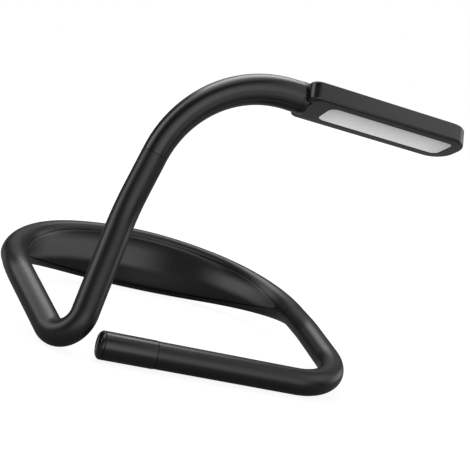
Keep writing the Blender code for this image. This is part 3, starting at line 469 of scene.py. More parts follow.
def finished(obj, material, sharp=EDGE_TURN):
    """The object's modifiers become its mesh, which gets its shading and material."""
    graph = bpy.context.evaluated_depsgraph_get()
    mesh = bpy.data.meshes.new_from_object(obj.evaluated_get(graph))
    obj.modifiers.clear()
    obj.data = mesh
    mesh.name = obj.name
    mesh.materials.clear()
    mesh.materials.append(material)
    mesh.shade_smooth()
    mesh.set_sharp_from_angle(angle=math.radians(sharp))
    return obj


def dress(obj, body, material, slot, nodes=(), sharp=EDGE_TURN):
    finished(obj, material, sharp)
    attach(obj, body)
    if nodes:
        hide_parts(*nodes)
    return obj


# Node trees: a tube along a path, and a wire wound round one
class Tree:
    """A node tree that is built a node at a time."""

    def __init__(self, tree):
        self.tree = tree

    def node(self, kind, inputs=(), **settings):
        made = self.tree.nodes.new(kind)
        for name, value in settings.items():
            setattr(made, name, value)
        return self.fill(made, inputs)

    def fill(self, node, inputs):
        for name, value in dict(inputs).items():
            self.feed(node.inputs[name], value)
        return node

    def feed(self, socket, value):
        if isinstance(value, bpy.types.NodeSocket):
            self.tree.links.new(value, socket)
        else:
            socket.default_value = value

    def maths(self, operation, *values):
        made = self.node("ShaderNodeMath", operation=operation)
        for socket, value in zip(made.inputs, values):
            self.feed(socket, value)
        return made.outputs[0]

    def vector(self, operation, first, second=None, scale=None):
        made = self.node("ShaderNodeVectorMath", operation=operation)
        self.feed(made.inputs[0], first)
        if second is not None:
            self.feed(made.inputs[1], second)
        if scale is not None:
            self.feed(made.inputs["Scale"], scale)
        return made.outputs["Value" if operation in ("DOT_PRODUCT", "LENGTH") else "Vector"]


def geometry_tree(name, sizes):
    group = bpy.data.node_groups.new(name, "GeometryNodeTree")
    group.interface.new_socket("Geometry", in_out="OUTPUT", socket_type="NodeSocketGeometry")
    group.interface.new_socket("Geometry", in_out="INPUT", socket_type="NodeSocketGeometry")
    for size, kind in sizes:
        group.interface.new_socket(size, in_out="INPUT", socket_type="NodeSocket" + kind)
    group.interface.new_socket("Material", in_out="INPUT", socket_type="NodeSocketMaterial")
    tree = Tree(group)
    return tree, tree.node("NodeGroupInput").outputs


def close_tree(tree, geometry, material):
    smooth = tree.node("GeometryNodeSetShadeSmooth", {"Geometry": geometry})
    real = tree.node("GeometryNodeRealizeInstances", {"Geometry": smooth.outputs[0]})
    coated = tree.node("GeometryNodeSetMaterial", {"Geometry": real.outputs[0], "Material": material})
    tree.node("NodeGroupOutput", {"Geometry": coated.outputs[0]})
    return tree.tree


def tube_tree():
    tree, given = geometry_tree("tube_on_path", (("Radius", "Float"), ("Sides", "Int")))
    path = tree.node("GeometryNodeMeshToCurve", {"Mesh": given["Geometry"]})
    values = {"Resolution": given["Sides"], "Radius": given["Radius"]}
    ring = tree.node("GeometryNodeCurvePrimitiveCircle", values)
    values = {"Curve": path.outputs[0], "Profile Curve": ring.outputs[0]}
    tube = tree.node("GeometryNodeCurveToMesh", values)
    return close_tree(tree, tube.outputs[0], given["Material"])


def coil_tree():
    lengths = [(size, "Float") for size in ("Coil Radius", "Wire Radius", "Pitch")]
    counts = [(size, "Int") for size in ("Steps", "Sides")]
    tree, given = geometry_tree("wire_wound_on_path", lengths + counts)
    path = tree.node("GeometryNodeMeshToCurve", {"Mesh": given["Geometry"]})
    length = tree.maths("DIVIDE", given["Pitch"], given["Steps"])
    fine = tree.node("GeometryNodeResampleCurve", {"Curve": path.outputs[0], "Length": length}, mode="LENGTH")
    turn = tree.maths("DIVIDE", FULL_TURN, given["Steps"])
    angle = tree.maths("MULTIPLY", tree.node("GeometryNodeInputIndex").outputs[0], turn)
    side = tree.node("GeometryNodeInputNormal").outputs[0]
    along = tree.node("GeometryNodeInputTangent").outputs[0]
    across = tree.vector("CROSS_PRODUCT", along, side)
    first = tree.vector("SCALE", side, scale=tree.maths("COSINE", angle))
    second = tree.vector("SCALE", across, scale=tree.maths("SINE", angle))
    offset = tree.vector("SCALE", tree.vector("ADD", first, second), scale=given["Coil Radius"])
    wound = tree.node("GeometryNodeSetPosition", {"Geometry": fine.outputs[0], "Offset": offset})
    values = {"Resolution": given["Sides"], "Radius": given["Wire Radius"]}
    ring = tree.node("GeometryNodeCurvePrimitiveCircle", values)
    values = {"Curve": wound.outputs[0], "Profile Curve": ring.outputs[0], "Fill Caps": True}
    wire = tree.node("GeometryNodeCurveToMesh", values)
    return close_tree(tree, wire.outputs[0], given["Material"])


TUBE_TREE = tube_tree()
COIL_TREE = coil_tree()


def grown(name, mesh, tree, values):
    """A new object whose mesh is what the tree makes of the given one."""
    obj = new_object(name, mesh)
    modifier = obj.modifiers.new("grow", "NODES")
    modifier.node_group = tree
    for item in tree.interface.items_tree:
        if item.in_out == "INPUT" and item.name in values:
            modifier[item.identifier] = values[item.name]
    return obj


def path_mesh(name, places):
    mesh = bpy.data.meshes.new(name)
    points = [place.translation for place in places]
    mesh.from_pydata(points, [(here, here + 1) for here in range(len(points) - 1)], [])
    return mesh


def divided(places, length=STRETCH_LENGTH):
    """The same line with its long straight stretches cut short, so that it bends evenly."""
    fine = [places[0]]
    for here, there in zip(places, places[1:]):
        distance = (there.translation - here.translation).length
        count = max(1, round(distance / length))
        fine += [here.lerp(there, step / count) for step in range(1, count)]
        fine.append(there)
    return fine


# Materials
BLACK = (0.006, 0.006, 0.0064)
# Painted sheen: the pale tone that the lining's colour takes where light falls on its inner face
PAINTED_SHEEN_TONE = (0.165, 0.165, 0.168)
WHITE = (1.0, 1.0, 1.0, 1.0)
COAT_ROUGHNESS = 0.25
NOISE_SPAN = (0.3, 0.7)
SPECK_SPAN = (0.66, 0.74)
FILM_SPAN = (0.45, 0.75)
BUMP_DEPTH = 0.00003
SOFT_SKIN = {"dust": 0.06, "bump": 0.12, "change": 0.06}
DRAWN_TONE = (0.86, 1.1)
DRAWN_FINE = (-0.06, 0.08)
DRAWN_SLOW = (-0.03, 0.05)
DRAWN_BUMP = 0.2
DRAWN_DEPTH = 0.00002

OPAL_TONES = ((0.74, 0.74, 0.75, 1.0), (0.82, 0.82, 0.83, 1.0))
OPAL_ROUGHNESS = (0.30, 0.42)
OPAL_CLOUD_SCALE = 60.0
OPAL_GRAIN_SCALE = 1500.0
OPAL_GRAIN = (0.93, 1.07)
OPAL_SOFTNESS = {"Subsurface Weight": 0.3, "Subsurface Radius": (1.0, 1.0, 1.0), "Subsurface Scale": 0.001}
# Painted light: the plate's emission, low at one long side and higher at the other, stands in for the light
# that falls on it
OPAL_PAINTED_LIGHT = (0.15, 0.48)
PAINTED_LIGHT_CURVE = 0.6
PAINTED_LIGHT_END_LENGTH = 0.0120
PAINTED_LIGHT_END_SHARE = 0.8
PRISM_PITCH = 0.0008
PRISM_SHARE = 0.03
PRISM_BUMP = 0.15
PRISM_DEPTH = 0.00005

BOARD_MASK = (0.012, 0.10, 0.035, 1.0)
BOARD_TRACK = (0.03, 0.19, 0.06, 1.0)
BOARD_PAD = (0.70, 0.68, 0.62, 1.0)
BOARD_ROUGHNESS = (0.42, 0.25)
BOARD_BUMP = 0.4
PAD_SCALE = 700.0
PAD_REACH = (0.16, 0.18)
TRACK_SCALE = 900.0
TRACK_REACH = (0.05, 0.08)


def shader_group(name, inputs, outputs):
    group = bpy.data.node_groups.new(name, "ShaderNodeTree")
    for label, kind, value in inputs:
        socket = group.interface.new_socket(label, in_out="INPUT", socket_type="NodeSocket" + kind)
        if value is not None:
            socket.default_value = value
    for label, kind in outputs:
        group.interface.new_socket(label, in_out="OUTPUT", socket_type="NodeSocket" + kind)
    tree = Tree(group)
    return tree, tree.node("NodeGroupInput").outputs


def ranged(tree, value, low, high, to_low=0.0, to_high=1.0):
    inputs = {"Value": value, "From Min": low, "From Max": high, "To Min": to_low, "To Max": to_high}
    return tree.node("ShaderNodeMapRange", inputs).outputs[0]


def hump(tree, value, rise, full, fade, gone):
    """Swells from nought to one between the first two places, and sinks again between the last two."""
    sides = []
    for low, high in ((rise, full), (gone, fade)):
        inputs = {"Value": value, "From Min": low, "From Max": high}
        sides.append(tree.node("ShaderNodeMapRange", inputs, interpolation_type="SMOOTHSTEP").outputs[0])
    return tree.maths("MULTIPLY", *sides)


def noise(tree, at, scale, detail=3.0, roughness=0.5):
    inputs = {"Vector": at, "Scale": scale, "Detail": detail, "Roughness": roughness}
    return tree.node("ShaderNodeTexNoise", inputs).outputs[0]


def colour_mix(tree, factor, first, second):
    inputs = {"Factor": factor, "A": first, "B": second}
    return tree.node("ShaderNodeMix", inputs, data_type="RGBA").outputs["Result"]


def own_axes(tree, at, place):
    """How far a point lies along each axis of a piece's own place."""
    inputs = {"Vector": at, "Location": place.translation, "Rotation": place.to_euler()}
    local = tree.node("ShaderNodeMapping", inputs, vector_type="TEXTURE")
    return tree.node("ShaderNodeSeparateXYZ", {"Vector": local.outputs[0]}).outputs


SKIN_OUTPUTS = (("Colour", "Color"), ("Roughness", "Float"), ("Height", "Float"))


def moulded_group():
    """The skin of a moulding: fine spark texture, slow waves, and a little dust."""
    inputs = (
        ("Position", "Vector", None),
        ("Grain Scale", "Float", 4200.0),
        ("Wave Scale", "Float", 90.0),
        ("Cloud Scale", "Float", 260.0),
        ("Cloud Detail", "Float", 6.0),
        ("Cloud Roughness", "Float", 0.65),
        ("Speck Scale", "Float", 2600.0),
        ("Film", "Float", 0.35),
        ("Grain Height", "Float", 0.3),
        ("Dust", "Float", 0.2),
        ("Colour", "Color", (0.02, 0.02, 0.02, 1.0)),
        ("Dust Colour", "Color", (0.2, 0.2, 0.2, 1.0)),
        ("Roughness", "Float", 0.4),
        ("Roughness Change", "Float", 0.1),
    )
    tree, given = shader_group("moulded_skin", inputs, SKIN_OUTPUTS)
    at = given["Position"]
    grain = noise(tree, at, given["Grain Scale"], 2.0)
    wave = noise(tree, at, given["Wave Scale"], 2.0)
    cloud = noise(tree, at, given["Cloud Scale"], given["Cloud Detail"], given["Cloud Roughness"])
    speck = ranged(tree, noise(tree, at, given["Speck Scale"], 1.0), *SPECK_SPAN)
    film = tree.maths("MULTIPLY", ranged(tree, cloud, *FILM_SPAN), given["Film"])
    dust = tree.maths("MULTIPLY", tree.maths("MAXIMUM", film, speck), given["Dust"])
    colour = colour_mix(tree, dust, given["Colour"], given["Dust Colour"])
    change = tree.maths("MULTIPLY", tree.maths("SUBTRACT", cloud, 0.5), given["Roughness Change"])
    roughness = tree.maths("ADD", given["Roughness"], change)
    height = tree.maths("ADD", tree.maths("MULTIPLY", grain, given["Grain Height"]), wave)
    tree.node("NodeGroupOutput", {"Colour": colour, "Roughness": roughness, "Height": height})
    return tree.tree


def drawn_group():
    """Metal with fine drawn lines along one axis."""
    inputs = (
        ("Position", "Vector", None),
        ("Stretch", "Vector", (1.0, 1.0, 0.05)),
        ("Line Scale", "Float", 9000.0),
        ("Cloud Scale", "Float", 300.0),
        ("Colour", "Color", (0.6, 0.6, 0.6, 1.0)),
        ("Roughness", "Float", 0.3),
    )
    tree, given = shader_group("drawn_metal", inputs, SKIN_OUTPUTS)
    at = tree.vector("MULTIPLY", given["Position"], given["Stretch"])
    lines = noise(tree, at, given["Line Scale"])
    cloud = noise(tree, given["Position"], given["Cloud Scale"])
    value = ranged(tree, lines, *NOISE_SPAN, *DRAWN_TONE)
    tone = tree.node("ShaderNodeHueSaturation", {"Color": given["Colour"], "Value": value})
    fine = ranged(tree, lines, *NOISE_SPAN, *DRAWN_FINE)
    slow = ranged(tree, cloud, *NOISE_SPAN, *DRAWN_SLOW)
    roughness = tree.maths("ADD", given["Roughness"], tree.maths("ADD", fine, slow))
    tree.node("NodeGroupOutput", {"Colour": tone.outputs[0], "Roughness": roughness, "Height": lines})
    return tree.tree


MOULDED = moulded_group()
DRAWN = drawn_group()


def new_material(name):
    material = bpy.data.materials.new(name)
    material.use_nodes = True
    material.node_tree.nodes.clear()
    tree = Tree(material.node_tree)
    shader = tree.node("ShaderNodeBsdfPrincipled")
    tree.node("ShaderNodeOutputMaterial", {"Surface": shader.outputs[0]})
    at = tree.node("ShaderNodeTexCoord").outputs["Object"]
    return material, tree, shader, at


def bumped(tree, shader, height, strength, distance):
    inputs = {"Height": height, "Strength": strength, "Distance": distance}
    tree.feed(shader.inputs["Normal"], tree.node("ShaderNodeBump", inputs).outputs[0])


def moulded(name, colour, roughness, grain, dust, coat=0.0, bump=0.25, change=0.1):
    material, tree, shader, at = new_material(name)
    values = {
        "Position": at,
        "Grain Scale": grain,
        "Dust": dust,
        "Colour": (*colour, 1.0),
        "Roughness": roughness,
        "Roughness Change": change,
    }
    skin = tree.node("ShaderNodeGroup", values, node_tree=MOULDED).outputs
    tree.fill(shader, {"Base Color": skin["Colour"], "Roughness": skin["Roughness"]})
    tree.fill(shader, {"Coat Weight": coat, "Coat Roughness": COAT_ROUGHNESS})
    bumped(tree, shader, skin["Height"], bump, BUMP_DEPTH)
    return material


def metal(name, colour, roughness, stretch):
    material, tree, shader, at = new_material(name)
    values = {"Position": at, "Stretch": stretch, "Colour": (*colour, 1.0), "Roughness": roughness}
    skin = tree.node("ShaderNodeGroup", values, node_tree=DRAWN).outputs
    tree.fill(shader, {"Base Color": skin["Colour"], "Roughness": skin["Roughness"], "Metallic": 1.0})
    bumped(tree, shader, skin["Height"], DRAWN_BUMP, DRAWN_DEPTH)
    return material


def milky_diffuser():
    """Opal plate with rows of tiny prisms, and a low painted glow that stands in for the light falling on it,
    growing from one long side to the other and dimmer at its ends.
    """
    material, tree, shader, at = new_material("opal_diffuser")
    parts = own_axes(tree, at, head_middle)
    turn = FULL_TURN / PRISM_PITCH
    waves = [tree.maths("SINE", tree.maths("MULTIPLY", parts[axis], turn)) for axis in "ZY"]
    prisms = tree.maths("MULTIPLY", *waves)
    cloud = noise(tree, at, OPAL_CLOUD_SCALE, 2.0)
    tone = tree.maths("ADD", cloud, tree.maths("MULTIPLY", prisms, PRISM_SHARE))
    colour = colour_mix(tree, ranged(tree, tone, *NOISE_SPAN), *OPAL_TONES)
    roughness = ranged(tree, cloud, *NOISE_SPAN, *OPAL_ROUGHNESS)
    tree.fill(shader, {"Base Color": colour, "Roughness": roughness, **OPAL_SOFTNESS})
    # Painted light: the emission grows across the plate and fades a little towards its ends, in place of the
    # light falling on it
    across = ranged(tree, parts["Y"], -WINDOW_HALF_WIDTH, WINDOW_HALF_WIDTH)
    painted_light = ranged(tree, tree.maths("POWER", across, PAINTED_LIGHT_CURVE), 0.0, 1.0, *OPAL_PAINTED_LIGHT)
    along = tree.maths("ABSOLUTE", tree.maths("SUBTRACT", parts["Z"], WINDOW_PLACE))
    ends = (WINDOW_HALF_LENGTH - PAINTED_LIGHT_END_LENGTH, WINDOW_HALF_LENGTH)
    painted_light = tree.maths("MULTIPLY", ranged(tree, along, *ends, 1.0, PAINTED_LIGHT_END_SHARE), painted_light)
    grain = ranged(tree, noise(tree, at, OPAL_GRAIN_SCALE, 2.0), *NOISE_SPAN, *OPAL_GRAIN)
    tree.fill(shader, {"Emission Color": tree.maths("MULTIPLY", painted_light, grain), "Emission Strength": 1.0})
    bumped(tree, shader, prisms, PRISM_BUMP, PRISM_DEPTH)
    return material


def soft_lining():
    """The lining's skin, with two soft, paler zones of painted sheen where light falls on the band's inner
    face.
    """
    material = moulded("soft_lining", BLACK, 0.32, 3000.0, **SOFT_SKIN)
    tree = Tree(material.node_tree)
    parts = own_axes(tree, tree.node("ShaderNodeTexCoord").outputs["Object"], STANCE)
    sheen_zones = []
    for places, heights in PAINTED_SHEEN_ZONES:
        along = hump(tree, parts["X"], *places)
        sheen_zones.append(tree.maths("MULTIPLY", along, hump(tree, parts["Z"], *heights)))
    skin = next(node for node in tree.tree.nodes if node.type == "GROUP")
    # Painted sheen: the lining's colour turns paler in two zones where light falls on it
    tree.fill(skin, {"Colour": colour_mix(tree, tree.maths("MAXIMUM", *sheen_zones), (*BLACK, 1.0), (*PAINTED_SHEEN_TONE, 1.0))})
    return material


def circuit_board():
    """Green solder mask over copper tracks, with bright pads."""
    material, tree, shader, at = new_material("circuit_board")
    inputs = {"Vector": at, "Scale": PAD_SCALE}
    cells = tree.node("ShaderNodeTexVoronoi", inputs, distance="MANHATTAN")
    inputs = {"Vector": at, "Scale": TRACK_SCALE}
    tracks = tree.node("ShaderNodeTexVoronoi", inputs, feature="DISTANCE_TO_EDGE")
    track = ranged(tree, tracks.outputs["Distance"], *TRACK_REACH, 1.0, 0.0)
    pad = ranged(tree, cells.outputs["Distance"], *PAD_REACH, 1.0, 0.0)
    colour = colour_mix(tree, pad, colour_mix(tree, track, BOARD_MASK, BOARD_TRACK), BOARD_PAD)
    roughness = ranged(tree, pad, 0.0, 1.0, *BOARD_ROUGHNESS)
    tree.fill(shader, {"Base Color": colour, "Roughness": roughness})
    bumped(tree, shader, tree.maths("MAXIMUM", track, pad), BOARD_BUMP, BUMP_DEPTH)
    return material


# Each moulding's colour, roughness, grain scale and dust
silicone = moulded("black_silicone", BLACK, 0.33, 3800.0, **SOFT_SKIN)
lining = soft_lining()
casing = moulded("satin_casing", BLACK, 0.24, 5200.0, 0.04, coat=0.1, bump=0.05, change=0.05)
button_rubber = moulded("button_rubber", (0.020, 0.020, 0.021), 0.52, 4200.0, 0.10)
switch_plastic = moulded("switch_plastic", (0.04, 0.04, 0.042), 0.42, 5200.0, 0.05)
washer_plastic = moulded("slip_washer", (0.70, 0.68, 0.61), 0.45, 4200.0, 0.05, change=0.15)
reflector_white = moulded("white_reflector", (0.84, 0.84, 0.83), 0.28, 5200.0, 0.02)
lead_jacket = moulded("lead_jacket", (0.40, 0.03, 0.03), 0.42, 3800.0, 0.08)

# Each metal's colour, roughness and the way its drawn lines run
cell_foil = metal("cell_foil", (0.62, 0.63, 0.66), 0.36, (0.3, 0.3, 0.3))
bright_steel = metal("bright_steel", (0.64, 0.64, 0.66), 0.26, (1.0, 1.0, 0.06))
spring_steel = metal("spring_steel", (0.42, 0.44, 0.47), 0.32, (0.06, 1.0, 1.0))
gold = metal("contact_gold", (0.83, 0.62, 0.28), 0.24, (1.0, 1.0, 0.2))
opal = milky_diffuser()
board_green = circuit_board()

SLOT_LOOKS = {
    "silicone": silicone,
    "pad": lining,
    "casing": casing,
    "diffuser": opal,
    "reflector": reflector_white,
    "steel": bright_steel,
    "spring": spring_steel,
    "cell": cell_foil,
    "board": board_green,
    "lead": lead_jacket,
    "switch": switch_plastic,
    "washer": washer_plastic,
}


def dress_inner_nodes():
    for part in frame["record"]["subparts"]:
        obj = frame["nodes"][part["node"]]
        look = SLOT_LOOKS[part["material_slot"]]
        for slot in obj.material_slots:
            slot.material = look


# Neck band
def band_ring(share):
    """The band's section, with the recess that the lining lies in."""
    half = band_half_height(share)
    depth = band_half_depth(share)
    power = BAND_SWELL_SHARES[1] + BAND_SWELL_SHARES[2] * band_swell(share)
    fade = min(1.0, max(0.0, (PAD_TIP_SHARE * PAD_LAST_SHARE - abs(share)) / PAD_FADE_SHARE))
    recess = max(PAD_LEAST_RECESS, pad_half_height(share) + PAD_SEAM)
    edge_x = band_face(share, recess)
    seat = edge_x - PAD_RIM_THICKNESS * fade
    edge_angle = math.asin(min(1.0, recess / half) ** (power / 2))

    def at(angle):
        across = math.copysign(abs(math.cos(angle)) ** (2 / power), math.cos(angle))
        upward = math.copysign(abs(math.sin(angle)) ** (2 / power), math.sin(angle))
        return depth * across, half * upward

    back = [at(angle) for angle in np.linspace(QUARTER, 3 * QUARTER, BAND_FACE_POINTS)[:-1]]
    lower = [at(angle) for angle in np.linspace(-QUARTER, -edge_angle, BAND_SIDE_POINTS)]
    upper = [at(angle) for angle in np.linspace(edge_angle, QUARTER, BAND_SIDE_POINTS)[:-1]]
    floor = [(seat, height) for height in np.linspace(-recess, recess, SEAT_POINTS)]
    points = back + lower + floor + upper
    place = band_place(share)
    drop = band_drop(share)
    return [place @ Vector((x, drop + y, 0)) for x, y in points]


def make_band():
    shares = np.linspace(-1.0, 1.0, BAND_STEPS + 1)
    skin = loft("band_skin", [band_ring(share) for share in shares])
    dress(skin, "band", silicone, "silicone", ("band_shell",), BAND_EDGE_TURN)


def lining_ring(share):
    half = pad_half_height(share)
    edge = band_face(share, half)
    seat = edge - PAD_RIM_THICKNESS + GAP
    place = band_place(share)
    drop = band_drop(share)
    points = [(seat, height) for height in np.linspace(-half, half, SEAT_POINTS)]
    shrink = half / (PAD_HEIGHT / 2) * max(0.0, 1 - (share / PAD_DISH_END_SHARE) ** 2)
    for height in np.linspace(half, -half, BAND_FACE_POINTS):
        reach = abs(height) / half
        dish = PAD_DISH * (1 - reach**2) * shrink
        roll = PAD_ROLL * max(0.0, (reach - PAD_ROLL_START) / (1 - PAD_ROLL_START)) ** 2
        points.append((band_face(share, height) - dish - roll, height))
    return [place @ Vector((x, drop + y, 0)) for x, y in points]


def make_lining():
    end = PAD_TIP_SHARE * PAD_LAST_SHARE
    shares = np.linspace(-end, end, BAND_STEPS + 1)
    lining_piece = loft("neck_lining", [lining_ring(share) for share in shares])
    dress(lining_piece, "band", lining, "pad", ("neck_pad",), BAND_EDGE_TURN)


# Bendable arms
def along_arm(name, places, tree, values, slot, bodies, bend, nodes, wall=0.0):
    obj = grown(name, path_mesh(name, divided(places)), tree, values)
    if wall:
        thick = obj.modifiers.new("wall", "SOLIDIFY")
        thick.thickness = wall
        thick.offset = -1
    finished(obj, values["Material"], TUBE_EDGE_TURN)
    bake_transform(obj)
    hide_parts(*nodes)


def make_arm(word, names, places, bodies, bends, inside):
    """Each arm's sleeve and wound core, cut once where the arm is straight."""
    sleeve = {"Radius": TUBE_RADIUS, "Sides": TUBE_SIDES, "Material": silicone}
    wire = {
        "Coil Radius": COIL_RADIUS,
        "Wire Radius": WIRE_RADIUS,
        "Pitch": COIL_PITCH,
        "Steps": COIL_STEPS,
        "Sides": WIRE_SIDES,
        "Material": spring_steel,
    }
    for half, level in enumerate(("lower", "outer")):
        crossing = bodies[half : half + 2], bends[half]
        nodes = names[2 * half : 2 * half + 2]
        path = list(places[half])
        path[0] = ahead(path[0], 0 if half else SLEEVE_SEAM)
        path[-1] = ahead(path[-1], -SLEEVE_SEAM if half else 0)
        replaced = [word + "_sleeve_" + node for node in nodes]
        title = word + "_" + level + "_"
        wall = TUBE_RADIUS - SLEEVE_BORE
        along_arm(title + "sleeve", path, TUBE_TREE, sleeve, "silicone", *crossing, replaced, wall)
        core = joined_runs(places[1], inside[1]) if half else joined_runs(inside[0], places[0])
        replaced = [word + "_gooseneck_" + node for node in nodes]
        along_arm(title + "coil", core, COIL_TREE, wire, "spring", *crossing, replaced)


def make_lead(node, places, bodies, bends):
    values = {"Radius": LEAD_RADIUS, "Sides": LEAD_SIDES, "Material": lead_jacket}
    for half, level in enumerate(("lower", "outer")):
        crossing = bodies[half : half + 2], bends[half]
        along_arm(node + "_" + level, places[half], TUBE_TREE, values, "lead", *crossing, (node,))


def make_arms():
    into_cavity = (1 - BAND_CAVITY_END_SHARE) * HALF_BAND_LENGTH
    bodies = ("band", "left_arm", "upper_arm")
    names = ("root", "middle", "hairpin", "top")
    lower = joined_runs(left_root, [left_root[-1], left_middle])
    outer = joined_runs([left_middle, left_elbow], left_hairpin, left_top)
    bends = (left_root[1:], left_hairpin)
    grip = bend_run(upper_start, UPPER_CURVE_RADIUS, math.degrees(CORE_GRIP / UPPER_CURVE_RADIUS))
    make_arm("left", names, (lower, outer), bodies, bends, (band_end_run(-1, CORE_GRIP), grip))
    lead = (
        joined_runs(band_end_run(-1, into_cavity, CAVITY_STEPS), lower),
        joined_runs(outer, upper_bend, straight_run(upper_bend[-1], UPPER_END_LENGTH + LEAD_IN_HEAD)),
    )
    make_lead("light_lead", lead, bodies, bends)

    bodies = ("band", "right_arm", "pod")
    names = ("root", "middle", "bend", "front")
    lower = joined_runs(right_root, [right_root[-1], right_middle])
    outer = joined_runs([right_middle, right_elbow], right_bend, [right_bend[-1], pod_place])
    bends = (right_root[1:], right_bend)
    grip = straight_run(pod_place, CORE_GRIP)
    make_arm("right", names, (lower, outer), bodies, bends, (band_end_run(1, CORE_GRIP), grip))
    lead = (
        joined_runs(band_end_run(1, into_cavity, CAVITY_STEPS), lower),
        joined_runs(outer, straight_run(pod_place, SHOULDER_END)),
    )
    make_lead("charge_lead", lead, bodies, bends)


# Rigid upper arm
def wall_ring(place, radius, first, last, steps):
    """A ring's wall between two angles, its two long edges softly rounded where they meet the other piece."""
    spare = SEAM_WIDTH / 2 / radius
    turn = SEAM_ROUND / radius
    angles = np.linspace(first + spare + turn, last - spare - turn, steps + 1)
    outside = [(radius, angle) for angle in angles]
    inner = radius - UPPER_WALL
    inside = [(inner, angle) for angle in angles[::-1]]
    corner = radius - SEAM_ROUND
    start = [(inner, first + spare), (corner, first + spare)]
    end = [(corner, last - spare), (inner, last - spare)]
    points = start + outside + end + inside
    return ring_at(place, [(reach * math.cos(angle), reach * math.sin(angle)) for reach, angle in points])


def make_upper_arm():
    curved = UPPER_CURVE_RADIUS * math.radians(UPPER_CURVE_TURN)
    length = curved + UPPER_END_LENGTH
    cover = math.radians(UPPER_COVER_HALF_TURN)
    places = bend_run(upper_start, UPPER_CURVE_RADIUS, UPPER_CURVE_TURN)
    shares = [curved / length * step / (len(places) - 1) for step in range(len(places))]
    places.append(ahead(places[-1], UPPER_END_LENGTH - COLLAR_RIM_LENGTH - GAP / 2))
    shares.append(1 - COLLAR_RIM_LENGTH / length)
    pieces = (
        ("upper_arm_casing", cover, FULL_TURN - cover, CASING_STEPS, "upper_arm_shell"),
        ("upper_arm_underside", -cover, cover, COVER_STEPS, "upper_arm_cover"),
    )
    for name, first, last, steps, node in pieces:
        rings = []
        for place, share in zip(places, shares):
            radius = UPPER_START_RADIUS + (UPPER_END_RADIUS - UPPER_START_RADIUS) * share
            rings.append(wall_ring(place, radius, first, last, steps))
        dress(loft(name, rings), "upper_arm", casing, "casing", (node,), BAND_EDGE_TURN)


def make_collar():
    rim = UPPER_END_RADIUS
    spigot = rim - UPPER_WALL - GAP
    back = -COLLAR_RIM_LENGTH - COLLAR_SPIGOT_LENGTH
    bore = PIN_RADIUS + GAP
    profile = [(bore, -COLLAR_FLOOR), (bore, 0)]
    profile += arc(rim - COLLAR_EDGE, -COLLAR_EDGE, COLLAR_EDGE, 90, 0)
    profile += [(rim, -COLLAR_RIM_LENGTH), (spigot, -COLLAR_RIM_LENGTH), (spigot, back)]
    profile += [(PIN_HEAD_ROOM, back), (PIN_HEAD_ROOM, -COLLAR_FLOOR)]
    dress(turned("swivel_collar", arm_end, profile), "upper_arm", casing, "casing", ("arm_end_collar",))


# Light head
def head_outline(inset):
    arm_corner = max(HEAD_ARM_CORNER - inset, HEAD_LEAST_CORNER)
    free_corner = max(HEAD_FREE_CORNER - inset, HEAD_LEAST_CORNER)
    width = HEAD_WIDTH - 2 * inset
    return rounded_rectangle(width, HEAD_LENGTH - 2 * inset, arm_corner, far_radius=free_corner)


def room_outline(clearance):
    inset = HEAD_WALL + clearance
    length = HEAD_LENGTH - HEAD_NOTCH_DEPTH - 2 * inset
    free_corner = HEAD_FREE_CORNER - inset
    outline = rounded_rectangle(HEAD_WIDTH - 2 * inset, length, ROOM_CORNER, far_radius=free_corner)
    return moved_along(outline, HEAD_NOTCH_DEPTH / 2)


def window_outline(growth):
    width = 2 * (WINDOW_HALF_WIDTH + growth)
    length = 2 * (WINDOW_HALF_LENGTH + growth)
    return moved_along(rounded_rectangle(width, length, WINDOW_CORNER + growth), WINDOW_PLACE)


def between(share, first, second):
    """The outline that lies a share of the way from the first to the second."""
    return [(x + (u - x) * share, y + (v - y) * share) for (x, y), (u, v) in zip(first, second)]


def button_place(number):
    return ahead(head_place, BUTTON_FIRST_PLACE + BUTTON_PITCH * number)


def button_outline(growth):
    width = BUTTON_WIDTH + 2 * growth
    return rounded_rectangle(width, BUTTON_LENGTH + 2 * growth, width / 2)


def cutter(obj, tool):
    tool.hide_render = True
    modifier = obj.modifiers.new(tool.name, "BOOLEAN")
    modifier.operation = "DIFFERENCE"
    modifier.solver = "EXACT"
    modifier.object = tool
    return tool


def dress_cut(obj, tools, *looks):
    """Dresses a piece with its holes cut, and takes the cutting shapes away."""
    dress(obj, *looks)
    for tool in tools:
        bpy.data.objects.remove(tool, do_unlink=True)


def cut_notch(piece):
    start = ahead(arm_end, SWIVEL_GAP - HEAD_NOTCH_DEPTH - 2 * CUT_PAST)
    ring = circle(UPPER_END_RADIUS + HEAD_NOTCH_CLEARANCE)
    return cutter(piece, stepped("arm_notch", start, [(ring, 0), (ring, HEAD_NOTCH_DEPTH + 2 * CUT_PAST)]))


